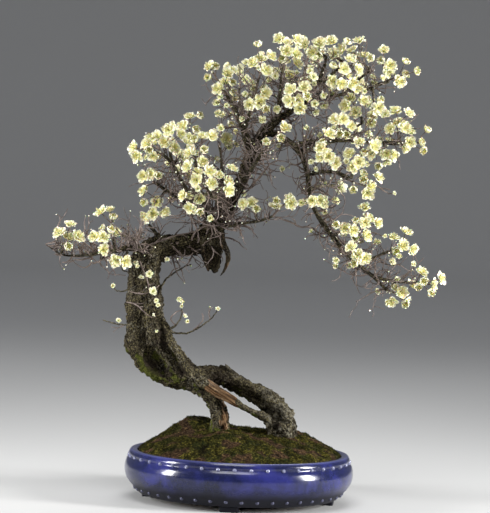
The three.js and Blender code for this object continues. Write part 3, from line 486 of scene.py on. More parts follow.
def scramble(cell):
    """A number from 0 to 255 for each whole place."""
    mixed = ORDER[cell[:, 0] & 255]
    mixed = ORDER[(mixed + cell[:, 1]) & 255]
    return ORDER[(mixed + cell[:, 2]) & 255]


def ripple(points):
    """Smooth noise, from about -0.8 to 0.8, with features one unit wide."""
    cell = np.floor(points).astype(np.int64)
    local = points - cell
    fade = local ** 3 * (local * (local * 6 - 15) + 10)
    total = np.zeros(len(points))
    for corner in CORNERS:
        slope = SLOPES[scramble(cell + corner) & 15]
        share = np.prod(np.where(np.array(corner) == 1, fade, 1 - fade), axis=1)
        total += share * np.einsum("ij,ij->i", slope, local - corner)
    return total


def fractal(points, octaves=4, gain=0.5):
    return sum(gain ** i * ripple(points * 2 ** i + 17.3 * i) for i in range(octaves))


def cells(points):
    """Distance to the nearest scattered centre, and how much further the next one is."""
    cell = np.floor(points).astype(np.int64)
    first = np.full(len(points), 9.0)
    second = np.full(len(points), 9.0)
    for step in NEIGHBOURS:
        near = cell + step
        mixed = scramble(near)
        jitter = np.stack([mixed, ORDER[mixed], ORDER[(mixed + 91) & 255]], axis=1) / 255
        reach = np.linalg.norm(near + jitter - points, axis=1)
        second = np.minimum(second, np.maximum(first, reach))
        first = np.minimum(first, reach)
    return first, second - first


def smoothstep(low, high, value):
    t = np.clip((value - low) / (high - low), 0, 1)
    return t * t * (3 - 2 * t)


class Shape:
    """Gathers surfaces in millimetres about the pot's axis, then makes one mesh of them.
    grain is a place along the material, and tone is four shares that the material reads."""

    def __init__(self):
        self.points, self.grain, self.tone = [], [], []
        self.faces = {3: [], 4: []}
        self.slots = {3: [], 4: []}
        self.count = 0

    def add(self, points, quads=None, tris=None, grain=None, tone=None, slot=0):
        points = np.asarray(points, float).reshape(-1, 3)
        for sides, faces in ((4, quads), (3, tris)):
            if faces is not None and len(faces):
                faces = np.asarray(faces, np.int64).reshape(-1, sides)
                self.faces[sides].append(faces + self.count)
                self.slots[sides].append(np.full(len(faces), slot, np.int32))
        self.points.append(points)
        self.grain.append(points if grain is None else np.asarray(grain, float).reshape(-1, 3))
        tone = np.zeros(4) if tone is None else np.asarray(tone, float)
        self.tone.append(np.broadcast_to(tone, (len(points), 4)))
        self.count += len(points)

    def make(self, name, materials, slot_name, replaced=(), smooth=True):
        points = np.clip((np.concatenate(self.points) + AXIS_PLACE) / 1000, *cad_box)
        loops, starts, totals, slots = [], [], [], []
        offset = 0
        for sides in (3, 4):
            if self.faces[sides]:
                faces = np.concatenate(self.faces[sides])
                loops.append(faces.ravel())
                starts.append(offset + sides * np.arange(len(faces)))
                totals.append(np.full(len(faces), sides))
                slots.append(np.concatenate(self.slots[sides]))
                offset += faces.size
        mesh = bpy.data.meshes.new(name)
        mesh.vertices.add(len(points))
        mesh.vertices.foreach_set("co", points.astype(np.float32).ravel())
        mesh.loops.add(offset)
        mesh.loops.foreach_set("vertex_index", np.concatenate(loops).astype(np.int32))
        mesh.polygons.add(sum(len(start) for start in starts))
        mesh.polygons.foreach_set("loop_start", np.concatenate(starts).astype(np.int32))
        mesh.polygons.foreach_set("loop_total", np.concatenate(totals).astype(np.int32))
        mesh.polygons.foreach_set("material_index", np.concatenate(slots))
        mesh.polygons.foreach_set("use_smooth", np.full(len(mesh.polygons), smooth))
        grain = mesh.attributes.new("grain", "FLOAT_VECTOR", "POINT")
        grain.data.foreach_set("vector", (np.concatenate(self.grain) / 1000).astype(np.float32).ravel())
        tone = mesh.attributes.new("tone", "FLOAT_COLOR", "POINT")
        tone.data.foreach_set("color", np.concatenate(self.tone).astype(np.float32).ravel())
        for material in materials:
            mesh.materials.append(material)
        mesh.update(calc_edges=True)
        piece = bpy.data.objects.new(name, mesh)
        bpy.context.scene.collection.objects.link(piece)
        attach(piece, "root")
        if replaced:
            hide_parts(*replaced)
        return piece


def turns(count):
    """Even angles round a circle."""
    return 2 * np.pi * np.arange(count) / count


def rays(angles, side, across):
    """The directions at some angles between side and across."""
    return np.cos(angles)[:, None] * side + np.sin(angles)[:, None] * across


def axes_about(axis):
    side = square_to(axis)
    return axis, side, np.cross(axis, side)


def lengths_along(path):
    """Distance along a path of rows that start with x, y and z, at each row."""
    return np.concatenate([[0], np.cumsum(np.linalg.norm(np.diff(path[:, :3], axis=0), axis=1))])


def fan(centre, start, count):
    """Triangles from a centre to a ring of points, all by number."""
    ring = np.arange(count)
    return np.stack([np.full(count, centre), start + ring, start + (ring + 1) % count], -1)


def grid_quads(rows, columns, wrap):
    """Quads of a grid of points, closed round its columns where wrap is set."""
    row = np.arange(rows - 1)[:, None] * columns
    here = np.arange(columns if wrap else columns - 1)[None, :]
    there = (here + 1) % columns
    return np.stack([row + here, row + there, row + columns + there, row + columns + here], -1).reshape(-1, 4)


def smooth_path(points, spacing):
    """Even curve through [x, y, z, radius] points, with each point's fractional number last."""
    points = np.asarray(points, float)
    padded = np.vstack([2 * points[0] - points[1], points, 2 * points[-1] - points[-2]])
    padded[0, 3], padded[-1, 3] = points[0, 3], points[-1, 3]
    rows = []
    for i in range(len(points) - 1):
        a, b, c, d = padded[i:i + 4]
        steps = max(1, round(math.dist(b[:3], c[:3]) / spacing))
        for t in np.arange(steps) / steps:
            place = 0.5 * (2 * b + (c - a) * t + (2 * a - 5 * b + 4 * c - d) * t ** 2
                           + (3 * b - a - 3 * c + d) * t ** 3)
            rows.append([*place, i + t])
    rows.append([*points[-1], len(points) - 1])
    return np.array(rows)


def path_frames(places):
    """Axis, side and across at each place of a path, turned along it without twist."""
    chords = np.gradient(places, axis=0)
    axes = chords / np.linalg.norm(chords, axis=1)[:, None]
    sides = np.empty_like(axes)
    side = square_to(axes[0])
    for i, axis in enumerate(axes):
        side = unit(side - axis * float(side @ axis))
        sides[i] = side
    return axes, sides, np.cross(axes, sides)


NODE_SPACING = 17
NODE_PLACE = 8
NODE_WIDTH = 2.2
NODE_SWELL = 0.14
GIRTH_SWELL = 0.26
GIRTH_WAVE = 9
TIP_LENGTH = 0.8
GRAIN_SHIFT = 37


def knobbly(length, angle, path):
    """Uneven girth of a limb, with a swelling at each old node."""
    places = (np.cos(angle) * 2 + path[0, 0], np.sin(angle) * 2, length / GIRTH_WAVE)
    places = np.stack(np.broadcast_arrays(*places), -1)
    girth = ripple(places.reshape(-1, 3)).reshape(places.shape[:2])
    nodes = np.exp(-(((length + 7 * path[0, 1]) % NODE_SPACING - NODE_PLACE) / NODE_WIDTH) ** 2)
    return 1 + GIRTH_SWELL * girth + NODE_SWELL * nodes


def add_tube(shape, path, sides, tone=None, slot=0):
    """Closed knobbly tube along [x, y, z, radius] rows."""
    path = np.asarray(path, float)
    axes, side, across = path_frames(path[:, :3])
    angle = turns(sides)
    length = lengths_along(path)
    radius = path[:, 3:4] * knobbly(length[:, None], angle[None, :], path)
    cosine, sine = np.cos(angle), np.sin(angle)
    points = (path[:, None, :3] + (radius * cosine)[..., None] * side[:, None, :]
              + (radius * sine)[..., None] * across[:, None, :])
    grain = np.stack([radius * cosine, radius * sine, np.broadcast_to(length[:, None], radius.shape)], -1)
    grain = grain + GRAIN_SHIFT * np.floor(path[0, :3])
    tip = path[-1, :3] + axes[-1] * path[-1, 3] * TIP_LENGTH
    count = len(path) * sides
    points = np.vstack([points.reshape(-1, 3), tip])
    grain = np.vstack([grain.reshape(-1, 3), grain[-1, 0]])
    shape.add(points, grid_quads(len(path), sides, True), fan(count, count - sides, sides), grain, tone, slot)


# Wood. The trunk, its strands, the stump and the thick starts of the limbs are one blended body,
# drawn as a field of distances and skinned. The rest of each limb is a tube that starts inside it.
FIELD_STEP = 1.9
FIELD_REACH = 11
FIELD_BLEND = 7
FIELD_FAR = 30
FIELD_MARGIN = 45
HOLLOW_BLEND = 3
PATH_SPACING = 5
HOLLOW_SPACING = 3
HOLLOW_SHADE_SPACING = 4
BODY_GRAIN_SHIFT = 61
SHARE_BLEND = 2
ROOT_DEPTH = 14
THICK_RADIUS = 5.6
THIN_START = 0.94
BODY_SLIMNESS = {"cascade": 0.8, "low_left": 0.72, "low_left_back": 0.72}

# Relief of the wood
FLUTE_DEPTH = 0.13
RIDGE_WIDTH = 13
RIDGE_DEPTH = 3.2
PLATE_WIDTH = 6.5
PLATE_DEPTH = 1.3
SEAM_DEPTH = 1.9
ROUGH_WIDTH = 4.5
ROUGH_DEPTH = 1.7
KNOT_WIDTH = 30
KNOT_DEPTH = 3.4
LUMP_WIDTH = 11
LUMP_DEPTH = 4
SPLIT_WIDTH = 4.2
SPLIT_DEPTH = 3.4
WAVE_WIDTH = 11
WAVE_DEPTH = 3.4
BARK_SINK = 3.2
FULL_RELIEF_RADIUS = 16
RELIEF_SPAN = 9

# Where the wood is bare, painted with shade, mossy or crusted. A run is the x from which it starts, is full,
# is still full and ends, and a pair is where it starts and is full.
STUMP = ("stump_core", "stump_left", "stump_right")
DEAD_PATHS = {"dead_strand": 1, "bark_spike": 0.3, "stump_core": 0.2, "stump_left": 0.42, "stump_right": 0.42}
BARE_RUN = (-70, -50, -16, 4)
BARE_PLANK = (-37, -32, -27, -21)
PLANK_HEIGHTS = (202, 188)
ARCH_SHADE_RUN = (-82, -62, -20, 8)
LICHEN_FROM = (20, 52)
LICHEN_HEIGHTS = (260, 235)
SHADE_HEIGHTS = (380, 430)
MOSS_HEIGHTS = (300, 240)
MOSS_CLIMB = 26
HOLLOW_SHADE_REACH = 5
EDGE_WOBBLE = 12
EDGE_WOBBLE_WIDTH = 15

# Thick moss on the trunk, as x, y, z and reach.
MOSS_SPOTS = ((-150, -22, 211, 17), (-166, -24, 222, 12), (-134, -26, 206, 11))

# A vein of living wood down the right of the trunk, a burl on its left, and one where the strands meet
# the right foot, as [x, y, z, radius] points.
VEINS = {
    "trunk_vein": [
        [-138, -18, 304, 7], [-131, -20, 286, 8.5], [-127, -21, 272, 9.5], [-118, -20, 256, 9.5],
        [-106, -19, 237, 9.5], [-91, -21, 218, 9], [-72, -24, 203, 8],
    ],
    "trunk_boss": [[-196, -6, 282, 12], [-199, -6, 266, 11], [-190, -8, 250, 10]],
    "knuckle": [[44, -2, 190, 9], [62, -8, 172, 11], [78, -10, 156, 10], [88, -6, 138, 9]],
}

# Hollows rotted into the wood, as [x, y, z, radius] points.
HOLLOWS = {
    "trunk_mouth": [
        [-163, -32, 256, 8], [-160, -27, 246, 12], [-154, -24, 236, 14], [-144, -24, 227, 12],
        [-131, -25, 219, 7],
    ],
    "vein_groove": [
        [-146, -24, 292, 3], [-140, -25, 272, 4.5], [-129, -25, 254, 5], [-118, -24, 238, 5],
        [-104, -24, 223, 4],
    ],
    "trunk_slit": [[-158, -36, 284, 3], [-152, -37, 270, 6]],
    "leg_slit": [[-31, -42, 165, 3], [-28, -44, 148, 5], [-27, -46, 130, 5], [-26, -47, 112, 4]],
    "strand_pocket": [[50, -6, 163, 5], [58, -18, 148, 6.5], [62, -26, 134, 5]],
    "stump_throat": [[-60, -2, 452, 7], [-58, 0, 432, 10], [-55, 2, 412, 9], [-54, 2, 396, 7]],
    "shoulder_knot": [[-96, 6, 446, 5], [-90, 4, 444, 6]],
}


def thick_part(points):
    """The points of a limb down to the radius that the blended body takes in."""
    kept = [point for point in points if point[3] >= THICK_RADIUS]
    return kept if len(kept) >= 2 else None


body_paths = {**BOLES, **STRANDS, **VEINS}
for limb_name, limb_points in LIMBS.items():
    if limb_name != "leader" and thick_part(limb_points):
        slimness = BODY_SLIMNESS.get(limb_name, 1)
        body_paths[limb_name] = [[*point[:3], point[3] * slimness] for point in thick_part(limb_points)]
body_curves = {name: smooth_path(points, PATH_SPACING) for name, points in body_paths.items()}


def grid_block(low, high, origin, shape):
    """Index slices of the part of the grid between two corners."""
    first = np.maximum(np.floor((low - origin) / FIELD_STEP).astype(int), 0)
    last = np.minimum(np.ceil((high - origin) / FIELD_STEP).astype(int) + 1, shape)
    return tuple(slice(a, max(a, b)) for a, b in zip(first, last))


def lay_path(field, curve, origin, axes):
    """Lowers the field to the distance from a tapered path."""
    for one, two in zip(curve, curve[1:]):
        reach = max(one[3], two[3]) + FIELD_REACH
        low, high = np.minimum(one[:3], two[:3]) - reach, np.maximum(one[:3], two[:3]) + reach
        block = grid_block(low, high, origin, field.shape)
        if any(part.start >= part.stop for part in block):
            continue
        x, y, z = (axes[k][block[k]] - one[k] for k in range(3))
        x, y, z = x[:, None, None], y[None, :, None], z[None, None, :]
        run = two[:3] - one[:3]
        t = np.clip((x * run[0] + y * run[1] + z * run[2]) / float(run @ run), 0, 1)
        gap = np.sqrt((x - t * run[0]) ** 2 + (y - t * run[1]) ** 2 + (z - t * run[2]) ** 2)
        gap -= one[3] + t * (two[3] - one[3])
        field[block] = np.minimum(field[block], gap)


def blend_fields(one, two, width):
    share = np.clip(0.5 + 0.5 * (two - one) / width, 0, 1)
    return two * (1 - share) + one * share - width * share * (1 - share)


def skin_field(field, origin):
    """Surface nets: one point in each cell that the surface crosses, and a quad across each such edge."""
    inside = field < 0
    counts = sum(inside[x:x + field.shape[0] - 1, y:y + field.shape[1] - 1, z:z + field.shape[2] - 1]
                 .astype(np.int8) for x, y, z in CORNERS)
    crossed = (counts > 0) & (counts < 8)
    cell = np.argwhere(crossed)
    number = np.full(crossed.shape, -1)
    number[crossed] = np.arange(len(cell))
    total = np.zeros((len(cell), 3))
    weight = np.zeros(len(cell))
    for a in CORNERS:
        for k in range(3):
            if a[k]:
                continue
            b = tuple(1 if j == k else a[j] for j in range(3))
            start = field[tuple((cell + a).T)]
            end = field[tuple((cell + b).T)]
            cut = (start < 0) != (end < 0)
            t = np.where(cut, start / np.where(cut, start - end, 1), 0)
            place = np.array(a, float) + t[:, None] * (np.array(b) - a)
            total += np.where(cut[:, None], place, 0)
            weight += cut
    points = origin + FIELD_STEP * (cell + total / weight[:, None])
    quads = []
    for k in range(3):
        i, j = (k + 1) % 3, (k + 2) % 3
        lower = tuple(slice(1, -1) if m != k else slice(0, -1) for m in range(3))
        upper = tuple(slice(1, -1) if m != k else slice(1, None) for m in range(3))
        edge = np.argwhere(inside[lower] != inside[upper])
        edge += np.array([0 if m == k else 1 for m in range(3)])
        step_i, step_j = np.eye(3, dtype=int)[i], np.eye(3, dtype=int)[j]
        around = [edge - step_i - step_j, edge - step_j, edge, edge - step_i]
        loop = np.stack([number[tuple(part.T)] for part in around], -1)
        flip = ~inside[tuple(edge.T)]
        loop[flip] = loop[flip][:, ::-1]
        quads.append(loop)
    return points, np.concatenate(quads)


def point_normals(points, quads):
    across = np.cross(points[quads[:, 2]] - points[quads[:, 0]], points[quads[:, 3]] - points[quads[:, 1]])
    normals = np.zeros_like(points)
    for k in range(4):
        np.add.at(normals, quads[:, k], across)
    return normals / np.maximum(np.linalg.norm(normals, axis=1), 1e-9)[:, None]


def path_field(curve, origin, shape):
    """The grid's block round a tapered path, and the distance from the path in it."""
    reach = curve[:, 3].max() + FIELD_REACH + FIELD_STEP
    block = grid_block(curve[:, :3].min(0) - reach, curve[:, :3].max(0) + reach, origin, shape)
    axes = [origin[k] + FIELD_STEP * np.arange(shape[k])[block[k]] for k in range(3)]
    field = np.full([len(line) for line in axes], float(FIELD_FAR), np.float32)
    lay_path(field, curve, np.array([line[0] for line in axes]), axes)
    return block, field


def body_field():
    low = np.min([curve[:, :3].min(0) for curve in body_curves.values()], axis=0) - FIELD_MARGIN
    high = np.max([curve[:, :3].max(0) for curve in body_curves.values()], axis=0) + FIELD_MARGIN
    shape = np.ceil((high - low) / FIELD_STEP).astype(int)
    field = np.full(shape, float(FIELD_FAR), np.float32)
    for curve in body_curves.values():
        block, own = path_field(curve, low, shape)
        field[block] = blend_fields(field[block], own, FIELD_BLEND)
    for points in HOLLOWS.values():
        block, own = path_field(smooth_path(points, HOLLOW_SPACING), low, shape)
        field[block] = -blend_fields(-field[block], own, HOLLOW_BLEND)
    return field, low


def wood_places(points):
    """For each point: its distance outside every path, and along the nearest path its offsets to the side
    and across, its length, fractional ring, radius and the path's number."""
    gaps, rows = [], []
    for number, curve in enumerate(body_curves.values()):
        axes, sides, across = path_frames(curve[:, :3])
        length = lengths_along(curve)
        best = np.full(len(points), np.inf)
        nearest = np.zeros(len(points), int)
        for i, row in enumerate(curve):
            gap = np.linalg.norm(points - row[:3], axis=1) - row[3]
            closer = gap < best
            best[closer] = gap[closer]
            nearest[closer] = i
        offset = points - curve[nearest, :3]
        along = np.einsum("ij,ij->i", offset, axes[nearest])
        x = np.einsum("ij,ij->i", offset, sides[nearest])
        y = np.einsum("ij,ij->i", offset, across[nearest])
        gaps.append(best)
        rows.append(np.stack([x, y, length[nearest] + along, curve[nearest, 4] + 0 * along,
                              curve[nearest, 3], np.full(len(points), number)], -1))
    gaps = np.stack(gaps, -1)
    rows = np.stack(rows, 1)
    return gaps, rows[np.arange(len(points)), gaps.argmin(1)]


def hollow_share(points, reach):
    """1 inside a hollow, fading to 0 a little way outside it."""
    nearest = np.full(len(points), np.inf)
    for hollow in HOLLOWS.values():
        for x, y, z, radius in smooth_path(hollow, HOLLOW_SHADE_SPACING)[:, :4]:
            gap = np.linalg.norm(points - (x, y, z), axis=1) - radius
            nearest = np.minimum(nearest, gap)
    return 1 - smoothstep(0, reach, nearest)


def mound_height(x, y):
    share = np.minimum(1, (x * x + y * y) / POT_MOUTH_RADIUS ** 2)
    rise = sum(hump[2] * np.exp(-((x - hump[0]) ** 2 + (y - hump[1]) ** 2) / hump[3] ** 2) for hump in HUMPS)
    return MOUND_EDGE + MOUND_DOME * (1 - share) ** MOUND_DOME_POWER + (1 - share ** MOUND_EDGE_POWER) * rise


def band(stops, value):
    """1 between the two middle stops, fading to 0 at the outer ones."""
    return smoothstep(*stops[:2], value) * smoothstep(*stops[:1:-1], value)


def folds(places):
    """Noise as sharp ridges, up to 1."""
    return 1 - 2 * np.abs(fractal(places, 3))


def bark_relief(points, grain, lichen):
    plates, seams = cells(grain * (1, 1, 0.55) / PLATE_WIDTH)
    knots = smoothstep(0.25, 0.6, fractal(points / KNOT_WIDTH, 2))
    return (RIDGE_DEPTH * (folds(grain * (1, 1, 0.3) / RIDGE_WIDTH) - 0.5)
            + SEAM_DEPTH * smoothstep(0, 0.35, seams) - PLATE_DEPTH * plates
            + ROUGH_DEPTH * fractal(points / ROUGH_WIDTH, 3) + KNOT_DEPTH * knots - BARK_SINK
            + LUMP_DEPTH * lichen * fractal(points / LUMP_WIDTH + 2, 3))


def bare_relief(grain):
    splits = folds(grain * (1, 1, 0.07) / SPLIT_WIDTH + 5)
    waves = fractal(grain * (1, 1, 0.15) / WAVE_WIDTH, 2)
    return SPLIT_DEPTH * (splits - 0.5) + WAVE_DEPTH * waves - 1


def wood_moss(points, normals, wobble):
    """How mossy the wood is: round its foot, below its lean, and at a few spots."""
    ground = points[:, 2] - mound_height(points[:, 0], points[:, 1])
    moss = smoothstep(0.1, 0.5, fractal(points / 16 + 3, 3) + 0.55 - ground / MOSS_CLIMB)
    under = smoothstep(0.2, -0.5, normals[:, 2]) * smoothstep(*MOSS_HEIGHTS, points[:, 2])
    moss = np.maximum(moss, 0.9 * under * smoothstep(-0.1, 0.3, fractal(points / 14 + 9, 3)))
    for *spot, reach in MOSS_SPOTS:
        gap = np.linalg.norm(points - spot, axis=1) + wobble
        moss = np.maximum(moss, smoothstep(reach, 0.5 * reach, gap))
    return moss


def body_skin():
    """Points, quads and normals of the blended body, down to a little below the moss."""
    points, quads = skin_field(*body_field())
    used = points[:, 2] > mound_height(points[:, 0], points[:, 1]) - ROOT_DEPTH
    number = np.cumsum(used) - 1
    quads = number[quads[used[quads].all(1)]]
    points = points[used]
    return points, quads, point_normals(points, quads)


def make_body(shape):
    points, quads, normals = body_skin()
    gaps, rows = wood_places(points)
    x, y, length, ring, radius, path = rows.T
    grain = np.stack([x, y, length], -1) + BODY_GRAIN_SHIFT * path[:, None]
    weights = np.exp(-(gaps - gaps.min(1)[:, None]) / SHARE_BLEND)
    weights /= weights.sum(1)[:, None]
    names = list(body_curves)

    def share_of(*parts):
        return weights[:, [names.index(part) for part in parts]].sum(1)

    wobble = EDGE_WOBBLE * fractal(points / EDGE_WOBBLE_WIDTH, 3)
    run = points[:, 0] + wobble
    dead = weights @ np.array([DEAD_PATHS.get(name, 0) for name in names])
    dead = dead * np.where(share_of("dead_strand") > 0.3, band(BARE_RUN, run), 1)
    plank = smoothstep(0, 0.35, -normals[:, 1]) * smoothstep(*PLANK_HEIGHTS, points[:, 2])
    dead = np.clip(dead + share_of("left_leg") * band(BARE_PLANK, run) * plank, 0, 1)
    lichen = smoothstep(*LICHEN_FROM, run) + share_of("bark_spike")
    lichen = np.clip(lichen * smoothstep(*LICHEN_HEIGHTS, points[:, 2]), 0, 1)

    angle = np.arctan2(y, x)
    flute = np.sin(3 * angle + 0.5 * ring) + 0.6 * np.sin(5 * angle - 0.8 * ring)
    flute = flute * radius * FLUTE_DEPTH * (share_of("trunk") + 0.5 * share_of(*STRANDS))
    slim = np.clip(radius / FULL_RELIEF_RADIUS, 0.25, 1)
    relief = slim * ((1 - dead) * bark_relief(points, grain, lichen) + dead * bare_relief(grain))
    points = points + normals * (flute + relief)[:, None]

    # Painted shade: the undersides high in the tree, the insides of the hollows, the bark strand's arch and
    # the stump are darkened in colour.
    shaded = smoothstep(0.1, -0.6, normals[:, 2]) * smoothstep(*SHADE_HEIGHTS, points[:, 2])
    arch_shade = share_of("bark_strand") * band(ARCH_SHADE_RUN, run)
    painted_shade = np.max([hollow_share(points, HOLLOW_SHADE_REACH), 0.75 * shaded, 0.8 * arch_shade,
                     0.6 * share_of(*STUMP)], axis=0)
    moss = wood_moss(points, normals, wobble) * (1 - 0.8 * dead) * (1 - 0.7 * lichen)
    growth = np.clip(moss, 0, 1) - lichen * (moss < 0.3)
    height = np.clip(0.5 + (relief + slim * BARK_SINK * (1 - dead)) / RELIEF_SPAN, 0, 1)
    shape.add(points, quads, grain=grain, tone=np.stack([dead, growth, painted_shade, height], -1))


def thin_part(name, points):
    """What the blended body leaves of a limb, started a little inside it."""
    thick = thick_part(points) if name in body_paths else None
    if thick is None:
        return points
    rest = points[len(thick) - 1:]
    if len(rest) < 2:
        return None
    return [[*rest[0][:3], rest[0][3] * THIN_START], *rest[1:]]


# Limbs and twigs
LIMB_SPACING = 3
TWIG_SPACING = 5
FINE_SPACING = 4
LIMB_TUBE_SIDES = 12
THIN_LIMB_RADIUS = 3
THIN_LIMB_SIDES = 8
TWIG_TUBE_SIDES = 6
FINE_TUBE_SIDES = 4
LIMB_SLIMNESS = 0.78
SLIM_LIMBS = {"low_left": 0.6, "low_left_back": 0.6}
SLIMMING_ROWS = 8
SHOOT_SLIMNESS = 0.6
SHOOT_WOBBLE = 0.45
STUB_OVERLAP = 0.03
TWIG_SLIMNESS = 0.92

# Neither dead nor painted with shade, a little crusted, and a little above the middle of the bark's relief.
LIMB_TONE = (0, -0.45, 0, 0.58)


def make_limbs(shape, sprays):
    for name, points in {**LIMBS, **BARE_SHOOTS}.items():
        rest = thin_part(name, points)
        if rest is None:
            continue
        sides = LIMB_TUBE_SIDES if rest[0][3] > THIN_LIMB_RADIUS else THIN_LIMB_SIDES
        rows = smooth_path(rest, LIMB_SPACING)[:, :4]
        slimness = SHOOT_SLIMNESS if name in BARE_SHOOTS else SLIM_LIMBS.get(name, LIMB_SLIMNESS)
        shares = (BODY_SLIMNESS.get(name, 1), slimness)
        rows[:, 3] *= np.interp(np.arange(len(rows)), (0, SLIMMING_ROWS), shares)
        if name in BARE_SHOOTS:
            rows[2:, :3] += random.normal(0, SHOOT_WOBBLE, (len(rows) - 2, 3))
        add_tube(shape, rows, sides, LIMB_TONE)
    for spray in sprays:
        if not spray["is_end"]:
            root = min(spray["radius"], STUB_ROOT_RADIUS)
            rows = spray_curve(spray, 0, STUB_SHARE + STUB_OVERLAP, root)
            add_tube(shape, rows, THIN_LIMB_SIDES, LIMB_TONE)


def spray_curve(spray, start, end, root_radius=TWIG_ROOT_RADIUS):
    """[x, y, z, radius] rows along a spray's twig, from one share of its curve to another."""
    length = math.dist(spray["place"], spray["tip"]) * (end - start)
    steps = max(3, round(length / TWIG_SPACING))
    shares = np.linspace(start, end, steps + 1)
    rows = []
    for t in shares:
        radius = root_radius + (TWIG_TIP_RADIUS - root_radius) * (t - start) / (1 - start)
        rows.append([*bezier(spray["place"], spray["bend"], spray["tip"], t), radius])
    return rows


# Petals and blossoms
PETAL_ROWS = np.array([0, 0.13, 0.33, 0.56, 0.76, 0.91, 1])
PETAL_WIDTHS = np.array([0.1, 0.2, 0.36, 0.49, 0.48, 0.34, 0.1])
PETAL_COLUMNS = np.linspace(-1, 1, 6)
SEPAL_COLUMNS = np.linspace(-1, 1, 3)
SMALL_COLUMNS = np.linspace(-1, 1, 4)
OPEN_WHORLS = (
    # number, reach, rise above the rim, power of the rise, width against reach, inward curl
    (5, 0.96, -0.8, 1.6, 0.9, 0.0),
    (5, 0.8, 1.6, 1.2, 0.74, 0.6),
    (5, 0.58, 3.0, 0.95, 0.6, 1.2),
)
HALF_OPEN_WHORLS = (
    # number, reach and rise above the rim
    (5, 1.0, 0),
    (5, 0.72, 0.5),
)
HALF_OPEN_OUT = np.array([0.18, 0.46, 0.74, 0.95, 1.0, 0.93, 0.8])
HALF_OPEN_UP = np.array([0, 0.05, 0.18, 0.45, 0.75, 0.93, 1.0])
CALYX_RINGS = ((0.75, -0.9), (1.5, 0), (2.1, 1.1), (2.0, 1.7))
CALYX_SIDES = 8
SEPAL_FOOT = 1.7
SEPAL_WIDTH = 3.0
STAMEN_COUNTS = (20, 28)
HALF_OPEN_STAMENS = 9
STAMEN_RADIUS = 0.14
STAMEN_FOOT = 0.6
HEART_HEIGHT = 1.2
PISTIL_RADIUS = 0.3
ANTHER_RADIUS = 0.5

# Spurs, and the buds beside them
SPUR_ROOT_RADIUS = 1.05
SPUR_TAPER = 0.35
SPUR_COLLAR = 0.3
SPUR_BOW = 0.06
SIDE_BUD_SHARE = 0.55
SIDE_BUD_REACHES = (2.5, 4.5)
SIDE_BUD_RADII = (1.3, 2.1)

# Slots of a spray's materials, and the petal and calyx slots of the fine twigs'
PETAL, STAMEN, ANTHER, CALYX, TWIG = range(5)
FINE_SLOTS = (1, 2)


def add_petals(shape, base, axes, turn, petals, out, up, width, whorl, slot, unrest=1.0,
               lines=PETAL_COLUMNS):
    """Round hollowed petals. out and up are each petal's rows of distance out and height, and lines
    are the places of its columns."""
    axis, side, across = axes
    far = PETAL_ROWS[:, None]
    for i in range(petals):
        angle = turn + 2 * math.pi * i / petals + random.normal(0, 0.13 * unrest)
        tilt = random.normal(0, 0.08 * unrest)
        nod = random.normal(0, 1.1 * unrest)
        wide = width * random.uniform(0.86, 1.06) * PETAL_WIDTHS[:, None] * lines
        frill = 1.1 * unrest * np.sin(lines * random.uniform(3, 6) + random.uniform(0, 6))
        notch = 0.09 * unrest * np.sin(lines * random.uniform(2, 6) + random.uniform(0, 6))
        sag = wide ** 2 / max(width, 1)
        reach = out[:, None] * (1 + tilt + notch * far ** 3) - 0.12 * sag
        height = up[:, None] + nod * far ** 2 + 0.5 * sag + frill * far ** 2
        ahead = side * math.cos(angle) + across * math.sin(angle)
        beside = across * math.cos(angle) - side * math.sin(angle)
        points = base + reach[..., None] * ahead + wide[..., None] * beside + height[..., None] * axis
        grain = np.stack([wide, reach, np.full(wide.shape, 3.0 * i)], -1)
        tones = np.broadcast_arrays(far, random.uniform(0, 1), whorl, np.abs(lines))
        quads = grid_quads(*wide.shape, False)
        shape.add(points, quads, grain=grain, tone=np.stack(tones, -1).reshape(-1, 4), slot=slot)


def add_rods(shape, starts, ends, radius, slot):
    """Thin three-sided rods, all at once."""
    axis = ends - starts
    axis /= np.linalg.norm(axis, axis=1)[:, None]
    reference = np.where(np.abs(axis[:, 2:3]) < 0.9, [[0, 0, 1.0]], [[1.0, 0, 0]])
    side = np.cross(axis, reference)
    side /= np.linalg.norm(side, axis=1)[:, None]
    across = np.cross(axis, side)
    ring = radius * rays(turns(3), side[:, None], across[:, None])
    points = np.concatenate([starts[:, None] + ring, ends[:, None] + 0.7 * ring], 1)
    quads = np.array([[0, 1, 4, 3], [1, 2, 5, 4], [2, 0, 3, 5]])
    quads = quads + 6 * np.arange(len(starts))[:, None, None]
    shape.add(points, quads, slot=slot)


def add_grains(shape, centres, radius, slot):
    """Small eight-sided grains, all at once."""
    spokes = np.array([[1, 0, 0], [0, 1, 0], [-1, 0, 0], [0, -1, 0], [0, 0, 1], [0, 0, -1]], float)
    points = centres[:, None] + radius * spokes
    tris = np.array([[0, 1, 4], [1, 2, 4], [2, 3, 4], [3, 0, 4], [1, 0, 5], [2, 1, 5], [3, 2, 5], [0, 3, 5]])
    tris = tris + 6 * np.arange(len(centres))[:, None, None]
    shape.add(points, tris=tris, slot=slot)


def add_cup(shape, base, axes, rings, sides, slot, tone=None, size=1):
    """Turned cup of (radius, height) rings about an axis, closed at the top, and scaled by size."""
    axis, side, across = axes
    ahead = rays(turns(sides), side, across)
    points = [base + size * radius * ahead + size * height * axis for radius, height in rings]
    top = base + (size * rings[-1][1] + 0.2) * axis
    count = len(rings) * sides
    shape.add(np.vstack([*points, top]), grid_quads(len(rings), sides, True),
              fan(count, count - sides, sides), tone=tone, slot=slot)


def add_calyx(shape, base, axes, spread, droop):
    add_cup(shape, base, axes, CALYX_RINGS, CALYX_SIDES, CALYX)
    out = SEPAL_FOOT + (spread - SEPAL_FOOT) * PETAL_ROWS
    up = 0.9 + droop * PETAL_ROWS ** 1.4
    add_petals(shape, base, axes, random.uniform(0, 6), 5, out, up, SEPAL_WIDTH, 1, CALYX, 0.3, SEPAL_COLUMNS)


